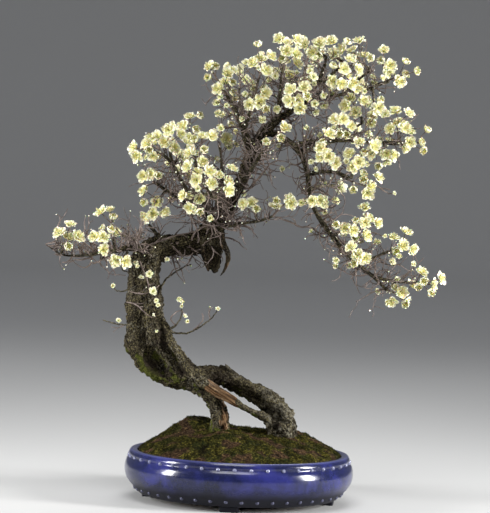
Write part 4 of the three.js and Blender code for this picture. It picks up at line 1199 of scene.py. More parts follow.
def add_stamens(shape, base, axes, angle, lean, tall):
    """Stamens from the heart of a bloom, each with its anther, at angles, leans and heights."""
    axis, side, across = axes
    ahead = rays(angle, side, across)
    ends = base + np.reshape(lean, (-1, 1)) * ahead + tall[:, None] * axis
    add_rods(shape, base + STAMEN_FOOT * ahead + HEART_HEIGHT * axis, ends, STAMEN_RADIUS, STAMEN)
    add_grains(shape, ends, ANTHER_RADIUS, ANTHER)


def add_open_bloom(shape, base, axes, radius, rim):
    add_calyx(shape, base, axes, 4.6, 0.5)
    turn = random.uniform(0, 6)
    for whorl, (count, reach, rise, power, width, curl) in enumerate(OPEN_WHORLS):
        end = radius * reach
        out = 1.3 + (end - 1.3) * PETAL_ROWS * (1 - 0.16 * curl * PETAL_ROWS ** 3)
        up = 1.0 + 0.2 * whorl + (rim + rise - 1.0) * PETAL_ROWS ** power
        add_petals(shape, base, axes, turn + whorl * math.pi / 5, count, out, up, end * width,
                   whorl / 2, PETAL)
    stamens = int(random.integers(*STAMEN_COUNTS))
    angle = random.uniform(0, 2 * np.pi, stamens)
    lean = np.sqrt(random.uniform(0.02, 1, stamens)) * 0.36 * radius
    tall = rim + random.uniform(0.2, 1.6, stamens) - 0.06 * lean ** 2
    add_stamens(shape, base, axes, angle, lean, tall)
    foot, tip = base + HEART_HEIGHT * axes[0], base + (rim + 0.6) * axes[0]
    add_rods(shape, foot[None], tip[None], PISTIL_RADIUS, CALYX)


def add_half_open_bloom(shape, base, axes, radius, rim):
    add_calyx(shape, base, axes, 3.6, 2.2)
    turn = random.uniform(0, 6)
    for whorl, (count, reach, rise) in enumerate(HALF_OPEN_WHORLS):
        out = radius * reach * HALF_OPEN_OUT
        up = 0.9 + (rim + 1.4 + rise) * HALF_OPEN_UP
        add_petals(shape, base, axes, turn + whorl * math.pi / 5, count, out, up, 1.5 * radius * reach,
                   0.4 + 0.4 * whorl, PETAL)
    angle = random.uniform(0, 2 * np.pi, HALF_OPEN_STAMENS)
    tall = random.uniform(rim + 0.4, rim + 2, HALF_OPEN_STAMENS)
    add_stamens(shape, base, axes, angle, 1.9, tall)


def add_bud(shape, place, axis, radius, slots=(PETAL, CALYX)):
    """Plump closed bud in its green cup."""
    axes = axes_about(axis)
    petal, calyx = slots
    add_cup(shape, place, axes, ((0.45, 0), (0.95, 0.6), (1.02, 1.05)), 7, calyx, size=radius)
    add_cup(shape, place, axes, ((0.9, 0.7), (1.0, 1.3), (0.72, 1.95), (0.3, 2.3)), 8, petal,
            (0.96, random.uniform(0, 1), 0.1, 0.2), radius)


def add_small_bloom(shape, place, axis, radius, lines=PETAL_COLUMNS):
    """Small blossom on old wood or a twig's end, five cupped petals about five more."""
    axes = axes_about(axis)
    petal, calyx = FINE_SLOTS
    add_cup(shape, place, axes, ((0.2, -0.5), (0.55, 0), (0.6, 0.3)), 7, calyx, size=radius)
    turn = random.uniform(0, 6)
    for reach, rise in ((1.35, 0.5), (0.85, 1.0)):
        out = radius * (0.15 + (reach - 0.15) * PETAL_ROWS)
        up = radius * (0.1 + rise * PETAL_ROWS ** 1.2)
        turn += math.pi / 5
        add_petals(shape, place, axes, turn, 5, out, up, radius * reach, 0, petal, lines=lines)


def add_spur(shape, foot, base, axis):
    """Short side shoot from its twig to a bloom, with a slight bow and swollen scales."""
    span = base - foot
    length = math.sqrt(float(span @ span))
    side = square_to(axis)
    bow = side * (SPUR_BOW * length * math.sin(float(foot @ (1, 2, 3))))
    rows = []
    for t in np.linspace(0, 1, 4 + int(length / 6)):
        radius = SPUR_ROOT_RADIUS - SPUR_TAPER * t + (SPUR_COLLAR if t == 1 else 0)
        rows.append([*(foot + span * t + bow * 4 * t * (1 - t) - axis * 0.6 * t), radius])
    add_tube(shape, rows, FINE_TUBE_SIDES, slot=TWIG)


def make_spray(spray, materials):
    shape = Shape()
    rows = np.array(spray_curve(spray, 0 if spray["is_end"] else STUB_SHARE, 1))
    if spray["is_end"]:
        fade = np.exp(-np.arange(len(rows)) / 1.5)
        rows[:, 3] += (max(spray["radius"], 1.2) - TWIG_ROOT_RADIUS) * fade
    rows[:, 3] *= TWIG_SLIMNESS
    add_tube(shape, rows, TWIG_TUBE_SIDES, slot=TWIG)
    for bloom in spray["blooms"]:
        foot = spray["tip"] if bloom["foot"] is None else bloom["foot"]
        add_spur(shape, foot, bloom["base"], bloom["axis"])
        add_bloom = add_half_open_bloom if bloom["is_half_open"] else add_open_bloom
        add_bloom(shape, bloom["base"], axes_about(bloom["axis"]), bloom["radius"],
                  CALYX_HEIGHT + bloom["cup"])
    for place in rows[1:-1]:
        if random.uniform() < SIDE_BUD_SHARE:
            turned = unit(random.normal(0, 0.7, 3) + 0.5 * FRONT_FACING)
            tip = place[:3] + turned * random.uniform(*SIDE_BUD_REACHES)
            add_rods(shape, place[None, :3], tip[None], 0.5, TWIG)
            add_bud(shape, tip, turned, random.uniform(*SIDE_BUD_RADII))
    return shape.make(f"{spray['owner']}_blossom", materials, "blossom", replaced=(spray["owner"],))


# Bare twigs between the blossoms, as the limb that they grow on and how many a hundred millimetres.
TWIG_LIMBS = {
    "trunk": 25, "mid_left": 48, "mid_left_high": 26, "mid_left_rise": 32, "mid_left_inner": 32,
    "mid_left_back": 14, "mid_left_front": 38, "crown_left": 28, "crown_left_front": 28,
    "crown_left_back": 10, "crown_mid": 28, "crown_mid_up": 20, "crown_mid_front": 28,
    "crown_mid_back": 8, "crown_right": 25, "crown_right_up": 18, "crown_right_front": 22,
    "crown_right_back": 8, "cascade": 27, "cascade_tip": 15, "cascade_mid": 20, "cascade_back": 8,
    "right_pad": 27, "right_pad_up": 18, "right_pad_back": 8, "right_low": 30, "right_low_back": 12,
    "mid_low": 34, "inner_front": 28, "inner_back": 13, "leader": 22, "low_left": 40, "low_left_back": 16,
}
TWIGS_FROM = 0.08
TRUNK_TWIGS_FROM = 0.42
TWIG_LENGTHS = (20, 72)
TWIG_ROOTS = (1.0, 1.8)
TWIG_ROOT_SHARE = 0.35
TWIG_END_RADIUS = 0.55
TWIG_STEP = 6.5
TWIG_CURLS = (0.05, 0.42)
TWIG_DRIFT = 0.03
TWIG_LIFT = 0.2
HANGING_LIMBS = ("cascade", "mid_low", "low_left")
HANGING_TWIG_LIFT = 0.65
FORK_LENGTHS = (0.3, 0.65)
SMALL_BLOOM_SHARES = {"crown": 0.09, "right": 0.06, "cascade": 0.05, "mid_left_": 0.05}
SMALL_BLOOM_RADII = (3.6, 6.2)
TWIG_BUD_SHARE = 0.2
TWIG_BUD_RADII = (0.8, 1.6)
SIDE_OF_TREE = 10

# Twigs stop at these corners, so that the tree stays as large as its solids.
TWIG_LOW = np.array([-330, -128, 286])
TWIG_HIGH = np.array([326, 146, 808])


def bowed_path(place, heading, length, root_radius):
    """A twig's [x, y, z, radius] rows, which keep turning about an axis of its own that drifts a little."""
    curl = random.uniform(*TWIG_CURLS)
    steps = max(3, round(length / TWIG_STEP))
    rows = [[*place, root_radius]]
    pivot = unit(random.normal(0, 1, 3))
    for i in range(1, steps + 1):
        pivot = unit(pivot + random.normal(0, 0.3, 3))
        turned = heading + np.cross(pivot, heading) * curl
        heading = unit(turned + random.normal(0, 0.2, 3) + (0, 0, TWIG_DRIFT))
        step = np.array(rows[-1][:3]) + heading * length / steps
        if i > 2 and ((step < TWIG_LOW) | (step > TWIG_HIGH)).any():
            break
        step = np.clip(step, TWIG_LOW, TWIG_HIGH)
        rows.append([*step, root_radius + (TWIG_END_RADIUS - root_radius) * i / steps])
    return np.array(rows)


def add_twig(shape, place, heading, length, root_radius, forks, small_blooms=0.0):
    rows = bowed_path(place, heading, length, root_radius)
    add_tube(shape, rows, FINE_TUBE_SIDES)
    for _ in range(forks):
        i = int(random.integers(1, len(rows) - 1))
        along = unit(rows[i, :3] - rows[i - 1, :3] + 1e-6)
        sideways = unit(along * 0.8 + random.normal(0, 0.7, 3))
        add_twig(shape, rows[i, :3], sideways, length * random.uniform(*FORK_LENGTHS), rows[i, 3] * 0.8, 0,
                 small_blooms)
    tip, span = rows[-1, :3], rows[-1, :3] - rows[-2, :3]
    if float(span @ span) <= 0.25:
        return
    if random.uniform() < small_blooms:
        add_small_bloom(shape, tip, unit(unit(span) + FRONT_FACING), random.uniform(*SMALL_BLOOM_RADII),
                        SMALL_COLUMNS)
    elif random.uniform() < TWIG_BUD_SHARE:
        add_bud(shape, tip, unit(span), random.uniform(*TWIG_BUD_RADII), FINE_SLOTS)


def make_fine_twigs(materials):
    left, right = Shape(), Shape()
    for name, density in TWIG_LIMBS.items():
        curve = smooth_path({**BOLES, **LIMBS}[name], FINE_SPACING)
        axes, sides, across = path_frames(curve[:, :3])
        low = int(len(curve) * (TRUNK_TWIGS_FROM if name == "trunk" else TWIGS_FROM))
        lift = HANGING_TWIG_LIFT if name.startswith(HANGING_LIMBS) else TWIG_LIFT
        small_blooms = sum(share for prefix, share in SMALL_BLOOM_SHARES.items() if name.startswith(prefix))
        for _ in range(round(density * lengths_along(curve[low:])[-1] / 100)):
            i = int(random.integers(low, len(curve)))
            angle = random.uniform(0, 2 * math.pi)
            out = sides[i] * math.cos(angle) + across[i] * math.sin(angle)
            heading = unit(axes[i] * random.uniform(-0.1, 0.8) + out + (0, -0.15, lift))
            length = random.uniform(*TWIG_LENGTHS)
            root = np.clip(curve[i, 3] * TWIG_ROOT_SHARE, *TWIG_ROOTS) * random.uniform(0.75, 1.15)
            foot = curve[i, :3] + out * curve[i, 3] * 0.55
            shape = left if foot[0] < SIDE_OF_TREE else right
            add_twig(shape, foot, heading, length, root, int(random.integers(1, 3)), small_blooms)
    add_shoots(left)
    left.make("fine_twigs_left", materials, "wood")
    right.make("fine_twigs_right", materials, "wood")


# Longer wiry shoots that the photograph shows, as [x, y, z, radius] points, and their open buds.
SHOOTS = (
    ((-60, -14, 492, 1.9), (-51, -20, 482, 1.7), (-35, -22, 474, 1.5), (-19, -22, 475, 1.3),
     (-21, -20, 489, 1.1), (-31, -18, 501, 0.9)),
    ((-24, -10, 490, 1.7), (-6, -25, 496, 1.5), (12, -25, 491, 1.4), (29, -25, 495, 1.2),
     (46, -25, 504, 0.9)),
    ((40, -25, 500, 1.3), (56, -25, 496, 1.5), (72, -25, 491, 1.6), (90, -25, 483, 1.6),
     (107, -25, 483, 1.5), (118, -25, 477, 1.4), (129, -25, 466, 1.4), (139, -25, 469, 1.2),
     (135, -25, 481, 1.0), (123, -25, 486, 0.8)),
    ((-2, -10, 545, 1.8), (8, -24, 556, 1.5), (21, -30, 573, 1.4), (32, -30, 588, 1.2),
     (47, -30, 596, 1.1), (68, -30, 594, 0.8)),
    ((140, -26, 490, 1.7), (169, -38, 455, 1.6), (194, -40, 468, 1.3), (214, -40, 478, 1.1),
     (235, -40, 473, 0.8)),
    ((190, -42, 577, 1.5), (207, -40, 569, 1.3), (225, -40, 556, 1.1), (241, -40, 547, 0.9),
     (250, -40, 547, 0.8)),
    ((-298, -56, 419, 1.5), (-308, -58, 409, 1.2), (-318, -58, 407, 0.9)),
    ((144, 0, 713, 1.7), (168, -8, 717, 1.4), (194, -10, 724, 1.2), (220, -10, 728, 1.0),
     (247, -10, 731, 0.8)),
    ((-88, -28, 297, 1.3), (-78, -28, 306, 1.1), (-72, -29, 318, 0.9), (-74, -29, 327, 0.8)),
    ((-119, -26, 304, 1.1), (-128, -30, 314, 1.0), (-122, -32, 325, 0.9), (-111, -31, 330, 0.8),
     (-103, -31, 320, 0.7)),
    ((-209, -26, 301, 1.1), (-219, -28, 296, 0.9), (-230, -30, 297, 0.7)),
    ((-134, 22, 387, 1.2), (-128, 14, 398, 1.0), (-118, 8, 402, 0.8)),
    ((-60, -28, 317, 1.0), (-62, -28, 328, 0.9), (-56, -28, 338, 0.7)),
    ((-206, -26, 341, 1.1), (-190, -36, 338, 1.2), (-180, -38, 331, 1.1), (-171, -38, 323, 1.0),
     (-160, -34, 316, 0.8)),
    ((-201, -26, 360, 1.2), (-186, -32, 357, 1.2), (-172, -34, 358, 1.1), (-160, -31, 365, 0.9),
     (-150, -26, 372, 0.7)),
    ((-186, -20, 412, 1.3), (-179, -26, 398, 1.2), (-171, -29, 381, 1.1), (-167, -30, 364, 0.8)),
    ((-181, -12, 431, 1.6), (-170, -5, 441, 1.5), (-156, -3, 447, 1.5), (-142, -1, 453, 1.4),
     (-125, 2, 459, 1.3), (-108, 3, 463, 1.1), (-89, 2, 469, 0.9)),
    ((-130, 4, 440, 1.4), (-118, -4, 428, 1.2), (-104, -8, 424, 1.1), (-94, -8, 430, 0.8)),
    ((-98, 8, 452, 1.5), (-92, -8, 466, 1.4), (-80, -14, 476, 1.2), (-64, -14, 478, 1.0),
     (-56, -12, 470, 0.8)),
)
OPEN_BUDS = (
    # x, y, z and radius
    (-47, -32, 334, 3.4), (-113, -32, 351, 4.2), (-107, -33, 346, 3.4), (-104, -33, 320, 3.4),
    (-99, -33, 312, 3.0), (-111, -32, 338, 2.6), (-230, -32, 368, 3.6), (-219, -30, 308, 3.8),
    (-161, -33, 361, 5.6), (-155, -34, 346, 3.4), (-151, -35, 338, 3.2), (-159, -38, 321, 2.4),
    (-151, -38, 292, 2.2), (-182, -26, 384, 3.4), (-192, -20, 410, 3.6), (-138, -16, 417, 3.4),
    (-168, -28, 391, 5.0), (250, -42, 547, 3.0), (236, -42, 474, 3.0), (-189, -42, 404, 2.8),
)
WIRY_WOBBLE = 0.35
WIRY_TWIG_SHARE = 0.55
WIRY_TWIG_LENGTHS = (9, 24)


def add_shoots(shape):
    for points in SHOOTS:
        rows = smooth_path(points, FINE_SPACING)[:, :4]
        rows[:, :3] += random.normal(0, WIRY_WOBBLE, (len(rows), 3))
        add_tube(shape, rows, TWIG_TUBE_SIDES)
        for i in range(3, len(rows) - 2, 4):
            if random.uniform() < WIRY_TWIG_SHARE:
                along = unit(rows[i, :3] - rows[i - 1, :3])
                sideways = unit(along * 0.7 + random.normal(0, 0.7, 3))
                length = random.uniform(*WIRY_TWIG_LENGTHS)
                add_twig(shape, rows[i, :3], sideways, length, rows[i, 3] * 0.7, 0)
    for x, y, z, radius in OPEN_BUDS:
        place = np.array([x, y, z], float)
        heading = unit(0.6 * FRONT_FACING + random.normal(0, 0.35, 3))
        foot = place + (0, 1.2 * radius + 3, -2)
        add_rods(shape, foot[None], (place + heading * 0.3)[None], 0.7, 0)
        add_small_bloom(shape, place, heading, radius)


# Pot
POT_TURNS = 172
BASE_RADIUS = 150
SIDE_SPACING = 2.5
# The pot's side as (radius, height) from under the base, over the rim and down the inside.
POT_SIDE = (
    (BASE_RADIUS, FOOT_HEIGHT), (170, 10), (172.6, 10.2), (174.4, 11.4), (180, 17), (190, 28), (196.8, 38),
    (199.6, 48), (POT_WIDEST_RADIUS, 56), (198.9, 63), (196.6, 69), (194.2, 72.2), (192.7, 73.8),
    (193.2, 75.6), (193.7, 78), (192.9, 81), (191.6, 83.2), (190.6, 84.8), (189.4, 85.8), (187.4, 86),
    (182, 85.8), (179.6, 85.4), (178.3, 84.3), (POT_MOUTH_RADIUS, 82.5), (178.6, 78), (182, 70), (188, 56),
)
WAVE_HEIGHT = 0.25
STUD_SIDES = 10
# Paleness of each row's studs: partly glaze breaking thin over them and partly painted highlight; the lower
# row, which faces down, gets less, as painted shade.
STUD_GLAZE_AND_LIGHT = (0.45, 1)
# A stud's dome as shares of its radius and of how proud it stands.
STUD_DOME = ((1.25, -0.5), (1.1, 0.08), (0.95, 0.42), (0.68, 0.76), (0.34, 0.95))
STUD_SLIMNESS = 0.66
FOOT_SIDES = 40
FOOT_SQUARENESS = 0.35
# A foot's outline at each height, as a share of its full size.
FOOT_STEPS = ((0, 0.9), (0.8, 0.97), (2, 1.0), (6, 0.98), (8, 1.0), (FOOT_HEIGHT + 6, 1.06))


def make_pot(materials):
    shape = Shape()
    profile = smooth_path([(radius, 0, z, 0) for radius, z in POT_SIDE], SIDE_SPACING)[:, [0, 2]]
    angle = turns(POT_TURNS)
    points = np.stack([profile[:, :1] * np.cos(angle), profile[:, :1] * np.sin(angle),
                       np.repeat(profile[:, 1:], POT_TURNS, 1)], -1)
    waves = WAVE_HEIGHT * fractal(points.reshape(-1, 3) / 70, 2).reshape(points.shape[:2])
    points[..., :2] *= (1 - np.abs(waves) / POT_WIDEST_RADIUS)[..., None]
    shape.add(points, grid_quads(len(profile), POT_TURNS, True))
    floor = np.column_stack([BASE_RADIUS * np.cos(angle), BASE_RADIUS * np.sin(angle), 0 * angle])
    floor = np.vstack([floor, (0, 0, 0)]) + (0, 0, FOOT_HEIGHT)
    shape.add(floor, tris=fan(POT_TURNS, 0, POT_TURNS)[:, ::-1], slot=1)
    add_studs(shape)
    add_feet(shape)
    return shape.make("glazed_pot", materials, "pot_glaze", replaced=("pot",))


def radial(angle):
    """The directions outward and sideways at an angle round the pot."""
    cosine, sine = math.cos(angle), math.sin(angle)
    return np.array([cosine, sine, 0]), np.array([-sine, cosine, 0])


def add_studs(shape):
    rings = [(STUD_RADIUS * STUD_SLIMNESS * out, STUD_PROUD * up) for out, up in STUD_DOME]
    for (z, radius, tilt, shift), glaze_and_light in zip(STUD_ROWS, STUD_GLAZE_AND_LIGHT):
        lean = math.radians(tilt)
        for k in range(STUD_COUNT):
            outward, side = radial(2 * math.pi * (k + shift) / STUD_COUNT - math.pi / 2)
            axis = outward * math.cos(lean) - (0, 0, math.sin(lean))
            add_cup(shape, outward * radius + (0, 0, z), (axis, side, np.cross(axis, side)), rings,
                    STUD_SIDES, 0, (glaze_and_light, 0, 0, 0))


def add_feet(shape):
    """Bracket feet, each with a rounded outline and a small step under the pot's edge."""
    cosine, sine = np.cos(turns(FOOT_SIDES))[:, None], np.sin(turns(FOOT_SIDES))[:, None]
    x = np.abs(cosine) ** FOOT_SQUARENESS * np.copysign(FOOT_WIDTH / 2, cosine)
    y = np.abs(sine) ** FOOT_SQUARENESS * np.copysign(FOOT_LENGTH / 2, sine)
    for k in range(FOOT_COUNT):
        outward, beside = radial(math.radians(FOOT_TURN - 90) + 2 * math.pi * k / FOOT_COUNT)
        rings = [outward * (FOOT_RADIUS + x * share) + beside * (y * share) + (0, 0, z)
                 for z, share in FOOT_STEPS]
        shape.add(np.vstack([*rings, outward * FOOT_RADIUS]), grid_quads(len(rings), FOOT_SIDES, True),
                  fan(len(rings) * FOOT_SIDES, 0, FOOT_SIDES)[:, ::-1])


# Moss
MOSS_SIDE = 190
MOSS_RADIUS = 177.4
MOSS_EDGE_WIDTH = 22
MOSS_EDGE_DROP = 1.6
MOSS_SKIRT = 7
CUSHION_WIDTH = 17
CUSHION_HEIGHT = 4.6
MOSS_LUMP_WIDTH = 6.5
LUMP_HEIGHT = 2.2
GRIT_WIDTH = 11
PATCH_WIDTH = 38
TUFT_COUNT = 27000
BARE_TUFT_SHARE = 0.25
TUFT_HEIGHTS = (1.8, 4.4)
TUFT_LEAN = 0.6
BLADES = 3
BLADE_WIDTH = 0.5


def disc_grid(count, radius):
    """Even grid of places over a disc."""
    line = np.linspace(-1, 1, count)
    u, v = np.meshgrid(line, line, indexing="ij")
    is_u = np.abs(u) > np.abs(v)
    reach = np.where(is_u, u, v)
    other = np.where(is_u, v, u)
    angle = np.where(reach == 0, 0, (np.pi / 4) * other / np.where(reach == 0, 1, reach))
    x = radius * reach * np.where(is_u, np.cos(angle), np.sin(angle))
    y = radius * reach * np.where(is_u, np.sin(angle), np.cos(angle))
    return np.stack([x, y], -1).reshape(-1, 2)


def moss_surface(places):
    """Height of the mossy ground, how mossy and how bare it is, and how high its relief stands, which the
    moss's painted shade reads.
    """
    x, y = places.T
    flat = np.stack([x, y, 0 * x], -1)
    cushions, lumps = cells(flat / CUSHION_WIDTH + 40)[0], cells(flat / MOSS_LUMP_WIDTH + 80)[0]
    growth = smoothstep(-0.34, 0.16, fractal(flat / PATCH_WIDTH + 21, 3))
    edge = smoothstep(MOSS_RADIUS, MOSS_RADIUS - MOSS_EDGE_WIDTH, np.hypot(x, y))
    rise = (CUSHION_HEIGHT * (0.55 - cushions) + LUMP_HEIGHT * (0.5 - lumps)) * (0.4 + 0.6 * growth)
    rise += LUMP_HEIGHT * fractal(flat / GRIT_WIDTH, 3)
    height = mound_height(x, y) - MOSS_EDGE_DROP * (1 - edge) + rise * (0.25 + 0.75 * edge)
    return height, growth, np.clip(0.5 + rise / 8, 0, 1)


def make_moss(materials):
    shape = Shape()
    places = disc_grid(MOSS_SIDE, MOSS_RADIUS)
    height, growth, level = moss_surface(places)
    rim = np.hypot(*places.T) > MOSS_RADIUS - 1
    height = np.where(rim, MOUND_EDGE - MOSS_SKIRT, height)
    points = np.column_stack([places, height])
    tone = np.stack([growth, level, 0 * growth, 0 * growth + 1], -1)
    shape.add(points, grid_quads(MOSS_SIDE, MOSS_SIDE, False)[:, ::-1], tone=tone)
    add_tufts(shape)
    return shape.make("moss_mound", materials, "moss", replaced=("moss",))


def add_tufts(shape):
    """Upright leaflets of the moss, three blades to a tuft."""
    reach = MOSS_RADIUS * np.sqrt(random.uniform(0, 0.985, TUFT_COUNT))
    angle = random.uniform(0, 2 * np.pi, TUFT_COUNT)
    places = np.stack([reach * np.cos(angle), reach * np.sin(angle)], -1)
    height, growth, level = moss_surface(places)
    kept = random.uniform(0, 1, TUFT_COUNT) < BARE_TUFT_SHARE + (1 - BARE_TUFT_SHARE) * growth
    places, height, growth, level = places[kept], height[kept], growth[kept], level[kept]
    roots = np.column_stack([places, height - 0.6])
    count = len(roots)
    for _ in range(BLADES):
        lean = random.normal(0, TUFT_LEAN, (count, 3)) + (0, -0.15, 1.0)
        lean /= np.linalg.norm(lean, axis=1)[:, None]
        tall = random.uniform(*TUFT_HEIGHTS, count) * (0.55 + 0.45 * growth)
        turn = random.uniform(0, 2 * np.pi, count)
        wide = np.stack([np.cos(turn), np.sin(turn), 0 * turn], -1) * BLADE_WIDTH
        tips = roots + lean * tall[:, None]
        points = np.stack([roots - wide, roots + wide, tips], 1)
        tone = np.stack([growth, level, np.zeros(count), random.uniform(0.5, 1.7, count)], -1)
        shape.add(points, tris=np.arange(3 * count), tone=np.repeat(tone, 3, axis=0))


# Materials
class Graph:
    """Short calls for wiring a procedural material."""

    def __init__(self, name):
        self.material = bpy.data.materials.new(name)
        self.material.use_nodes = True
        self.tree = self.material.node_tree
        self.shader = self.tree.nodes["Principled BSDF"]

    def wire(self, source, socket):
        if isinstance(source, bpy.types.NodeSocket):
            self.tree.links.new(source, socket)
        else:
            socket.default_value = source

    def node(self, kind, inputs=(), **settings):
        node = self.tree.nodes.new(kind)
        for key, value in settings.items():
            setattr(node, key, value)
        for key, value in dict(inputs).items():
            self.wire(value, node.inputs[key])
        return node

    def attribute(self, name):
        return self.node("ShaderNodeAttribute", attribute_name=name)

    def tone(self):
        """The four shares of the tone attribute."""
        tone = self.attribute("tone")
        split = self.node("ShaderNodeSeparateColor", {"Color": tone.outputs["Color"]})
        return (*(split.outputs[key] for key in ("Red", "Green", "Blue")), tone.outputs["Alpha"])

    def place(self, source=None, scale=(1, 1, 1)):
        """The grain, or a place in the object, in metres, stretched by scale."""
        vector = self.attribute("grain").outputs["Vector"] if source is None else source
        return self.node("ShaderNodeMapping", {"Vector": vector, "Scale": scale}).outputs[0]

    def object_place(self):
        return self.node("ShaderNodeTexCoord").outputs["Object"]

    def noise(self, vector, scale, detail=4, roughness=0.55, distortion=0.0):
        return self.node("ShaderNodeTexNoise", {"Vector": vector, "Scale": scale, "Detail": detail,
                                                "Roughness": roughness, "Distortion": distortion}).outputs[0]

    def cells(self, vector, scale, feature="F1"):
        return self.node("ShaderNodeTexVoronoi", {"Vector": vector, "Scale": scale},
                         feature=feature).outputs["Distance"]

    def ramp(self, value, *stops):
        """Maps a value through (position, grey or colour) stops."""
        node = self.node("ShaderNodeValToRGB", {"Fac": value})
        band = node.color_ramp.elements
        while len(band) < len(stops):
            band.new(0.5)
        for element, (position, colour) in zip(band, stops):
            element.position = position
            element.color = (*colour, 1) if isinstance(colour, tuple) else (colour, colour, colour, 1)
        return node.outputs["Color"]

    def mix(self, share, one, two, blend="MIX"):
        node = self.node("ShaderNodeMix", data_type="RGBA", blend_type=blend)
        self.wire(share, node.inputs["Factor"])
        for value, socket in ((one, node.inputs[6]), (two, node.inputs[7])):
            self.wire((*value, 1) if isinstance(value, tuple) else value, socket)
        return node.outputs[2]

    def math(self, operation, one, two, clamp=False):
        node = self.node("ShaderNodeMath", operation=operation, use_clamp=clamp)
        self.wire(one, node.inputs[0])
        self.wire(two, node.inputs[1])
        return node.outputs[0]

    def times(self, one, two, clamp=False):
        return self.math("MULTIPLY", one, two, clamp)

    def plus(self, one, two, clamp=False):
        return self.math("ADD", one, two, clamp)

    def over(self, base, source, low, high, tint):
        """Lays a tint on a colour, as much as the (value, share) stops low and high give for a source."""
        return self.mix(self.ramp(source, low, high), base, tint)

    def frayed(self, share, noise, depth, low, high):
        """A share with its edge frayed by noise, from its low stop to its high one."""
        ragged = self.times(self.math("SUBTRACT", noise, 0.5), depth)
        return self.ramp(self.plus(share, ragged), low, high)

    def bump(self, height, distance, strength=1.0, after=None):
        node = self.node("ShaderNodeBump", {"Height": height, "Distance": distance, "Strength": strength})
        if after is not None:
            self.wire(after, node.inputs["Normal"])
        return node.outputs[0]

    def finish(self, colour, roughness, normal=None, **sockets):
        self.wire(colour, self.shader.inputs["Base Color"])
        self.wire(roughness, self.shader.inputs["Roughness"])
        if normal is not None:
            self.wire(normal, self.shader.inputs["Normal"])
        for key, value in sockets.items():
            self.wire(value, self.shader.inputs[key.replace("_", " ")])
        return self.material


def bark_material():
    graph = Graph("bark")
    dead, growth, painted_shade, level = graph.tone()
    moss = graph.math("MAXIMUM", growth, 0)
    place = graph.object_place()
    along = graph.place(scale=(1, 1, 0.35))
    coarse = graph.noise(along, 90, 6, 0.65)
    cracks = graph.cells(graph.place(scale=(1, 1, 0.45)), 210, "DISTANCE_TO_EDGE")
    fine = graph.noise(place, 900, 5, 0.7)
    bark = graph.ramp(coarse, (0.36, (0.005, 0.004, 0.003)), (0.48, (0.016, 0.013, 0.009)),
                      (0.57, (0.042, 0.034, 0.022)), (0.70, (0.138, 0.121, 0.080)))
    # Painted shade: near black in the low places of the bark's relief.
    bark = graph.over(bark, level, (0.22, 0.9), (0.5, 0), (0.008, 0.006, 0.004))
    bark = graph.over(bark, cracks, (0, 0.8), (0.09, 0), (0.010, 0.007, 0.005))
    speck = graph.noise(place, 400, 3, 0.75)
    bark = graph.over(bark, speck, (0.38, 0.8), (0.5, 0), (0.007, 0.005, 0.004))
    bark = graph.over(bark, speck, (0.54, 0), (0.66, 0.75), (0.178, 0.153, 0.090))
    ochre = graph.times(graph.ramp(graph.noise(place, 330, 4, 0.65), (0.52, 0), (0.58, 1)),
                        graph.ramp(graph.noise(place, 38, 3), (0.38, 0), (0.56, 0.65)))
    bark = graph.mix(ochre, bark, (0.205, 0.175, 0.087))
    pale_spots = graph.ramp(graph.noise(place, 270, 4, 0.65), (0.53, 0), (0.59, 1))
    pale = graph.times(pale_spots, graph.ramp(graph.noise(place, 26, 2), (0.45, 0), (0.60, 0.6)))
    lichen = graph.times(growth, -1, clamp=True)
    crusts = graph.times(graph.ramp(graph.noise(place, 150, 5, 0.7), (0.47, 0), (0.6, 0.55)), lichen)
    bark = graph.mix(graph.math("MAXIMUM", pale, crusts), bark, (0.26, 0.24, 0.185))
    strands = graph.noise(graph.place(scale=(1, 1, 0.05)), 270, 6, 0.65)
    broad = graph.noise(graph.place(scale=(1, 1, 0.2)), 60, 4)
    bare = graph.ramp(strands, (0.38, (0.014, 0.008, 0.005)), (0.48, (0.095, 0.048, 0.020)),
                      (0.58, (0.29, 0.185, 0.10)), (0.72, (0.55, 0.42, 0.28)))
    bare = graph.over(bare, broad, (0.48, 0), (0.66, 0.55), (0.13, 0.115, 0.095))
    # Painted shade: darker in the low places of the bare wood's relief.
    bare = graph.over(bare, level, (0.3, 0.85), (0.5, 0), (0.02, 0.011, 0.006))
    dead_share = graph.frayed(dead, coarse, 1.4, (0.42, 0), (0.56, 1))
    colour = graph.mix(dead_share, bark, bare)
    leaf = graph.ramp(graph.noise(place, 700, 4, 0.7), (0.35, (0.014, 0.020, 0.004)),
                      (0.52, (0.062, 0.070, 0.012)), (0.7, (0.20, 0.20, 0.045)))
    colour = graph.mix(graph.frayed(moss, fine, 1.1, (0.5, 0), (0.66, 0.9)), colour, leaf)
    # Painted shade: darkens the hollows, the high undersides, the bark strand's arch and the stump.
    colour = graph.mix(graph.times(painted_shade, 0.8), colour, (0.012, 0.008, 0.006))
    height = graph.plus(graph.times(coarse, 0.8), graph.times(fine, 0.35))
    height = graph.plus(height, graph.times(graph.ramp(cracks, (0, 0), (0.16, 1)), 0.35))
    height = graph.mix(dead_share, height, graph.times(strands, 0.9))
    rough = graph.ramp(coarse, (0.3, 0.95), (0.8, 0.72))
    return graph.finish(colour, rough, graph.bump(height, 0.0032, 1.0), Specular_IOR_Level=0.06)


def twig_material():
    graph = Graph("twig_bark")
    place = graph.object_place()
    along = graph.place(scale=(1, 1, 0.25))
    streak = graph.noise(along, 380, 4, 0.6)
    colour = graph.ramp(streak, (0.3, (0.035, 0.025, 0.022)), (0.5, (0.145, 0.112, 0.098)),
                        (0.72, (0.38, 0.32, 0.29)))
    colour = graph.over(colour, graph.noise(place, 30, 3), (0.45, 0), (0.65, 0.5), (0.15, 0.11, 0.08))
    spots = graph.ramp(graph.cells(place, 750), (0.12, 1), (0.2, 0))
    colour = graph.mix(graph.times(spots, 0.5), colour, (0.36, 0.31, 0.25))
    return graph.finish(colour, 0.7, graph.bump(streak, 0.0007, 0.7), Specular_IOR_Level=0.15)


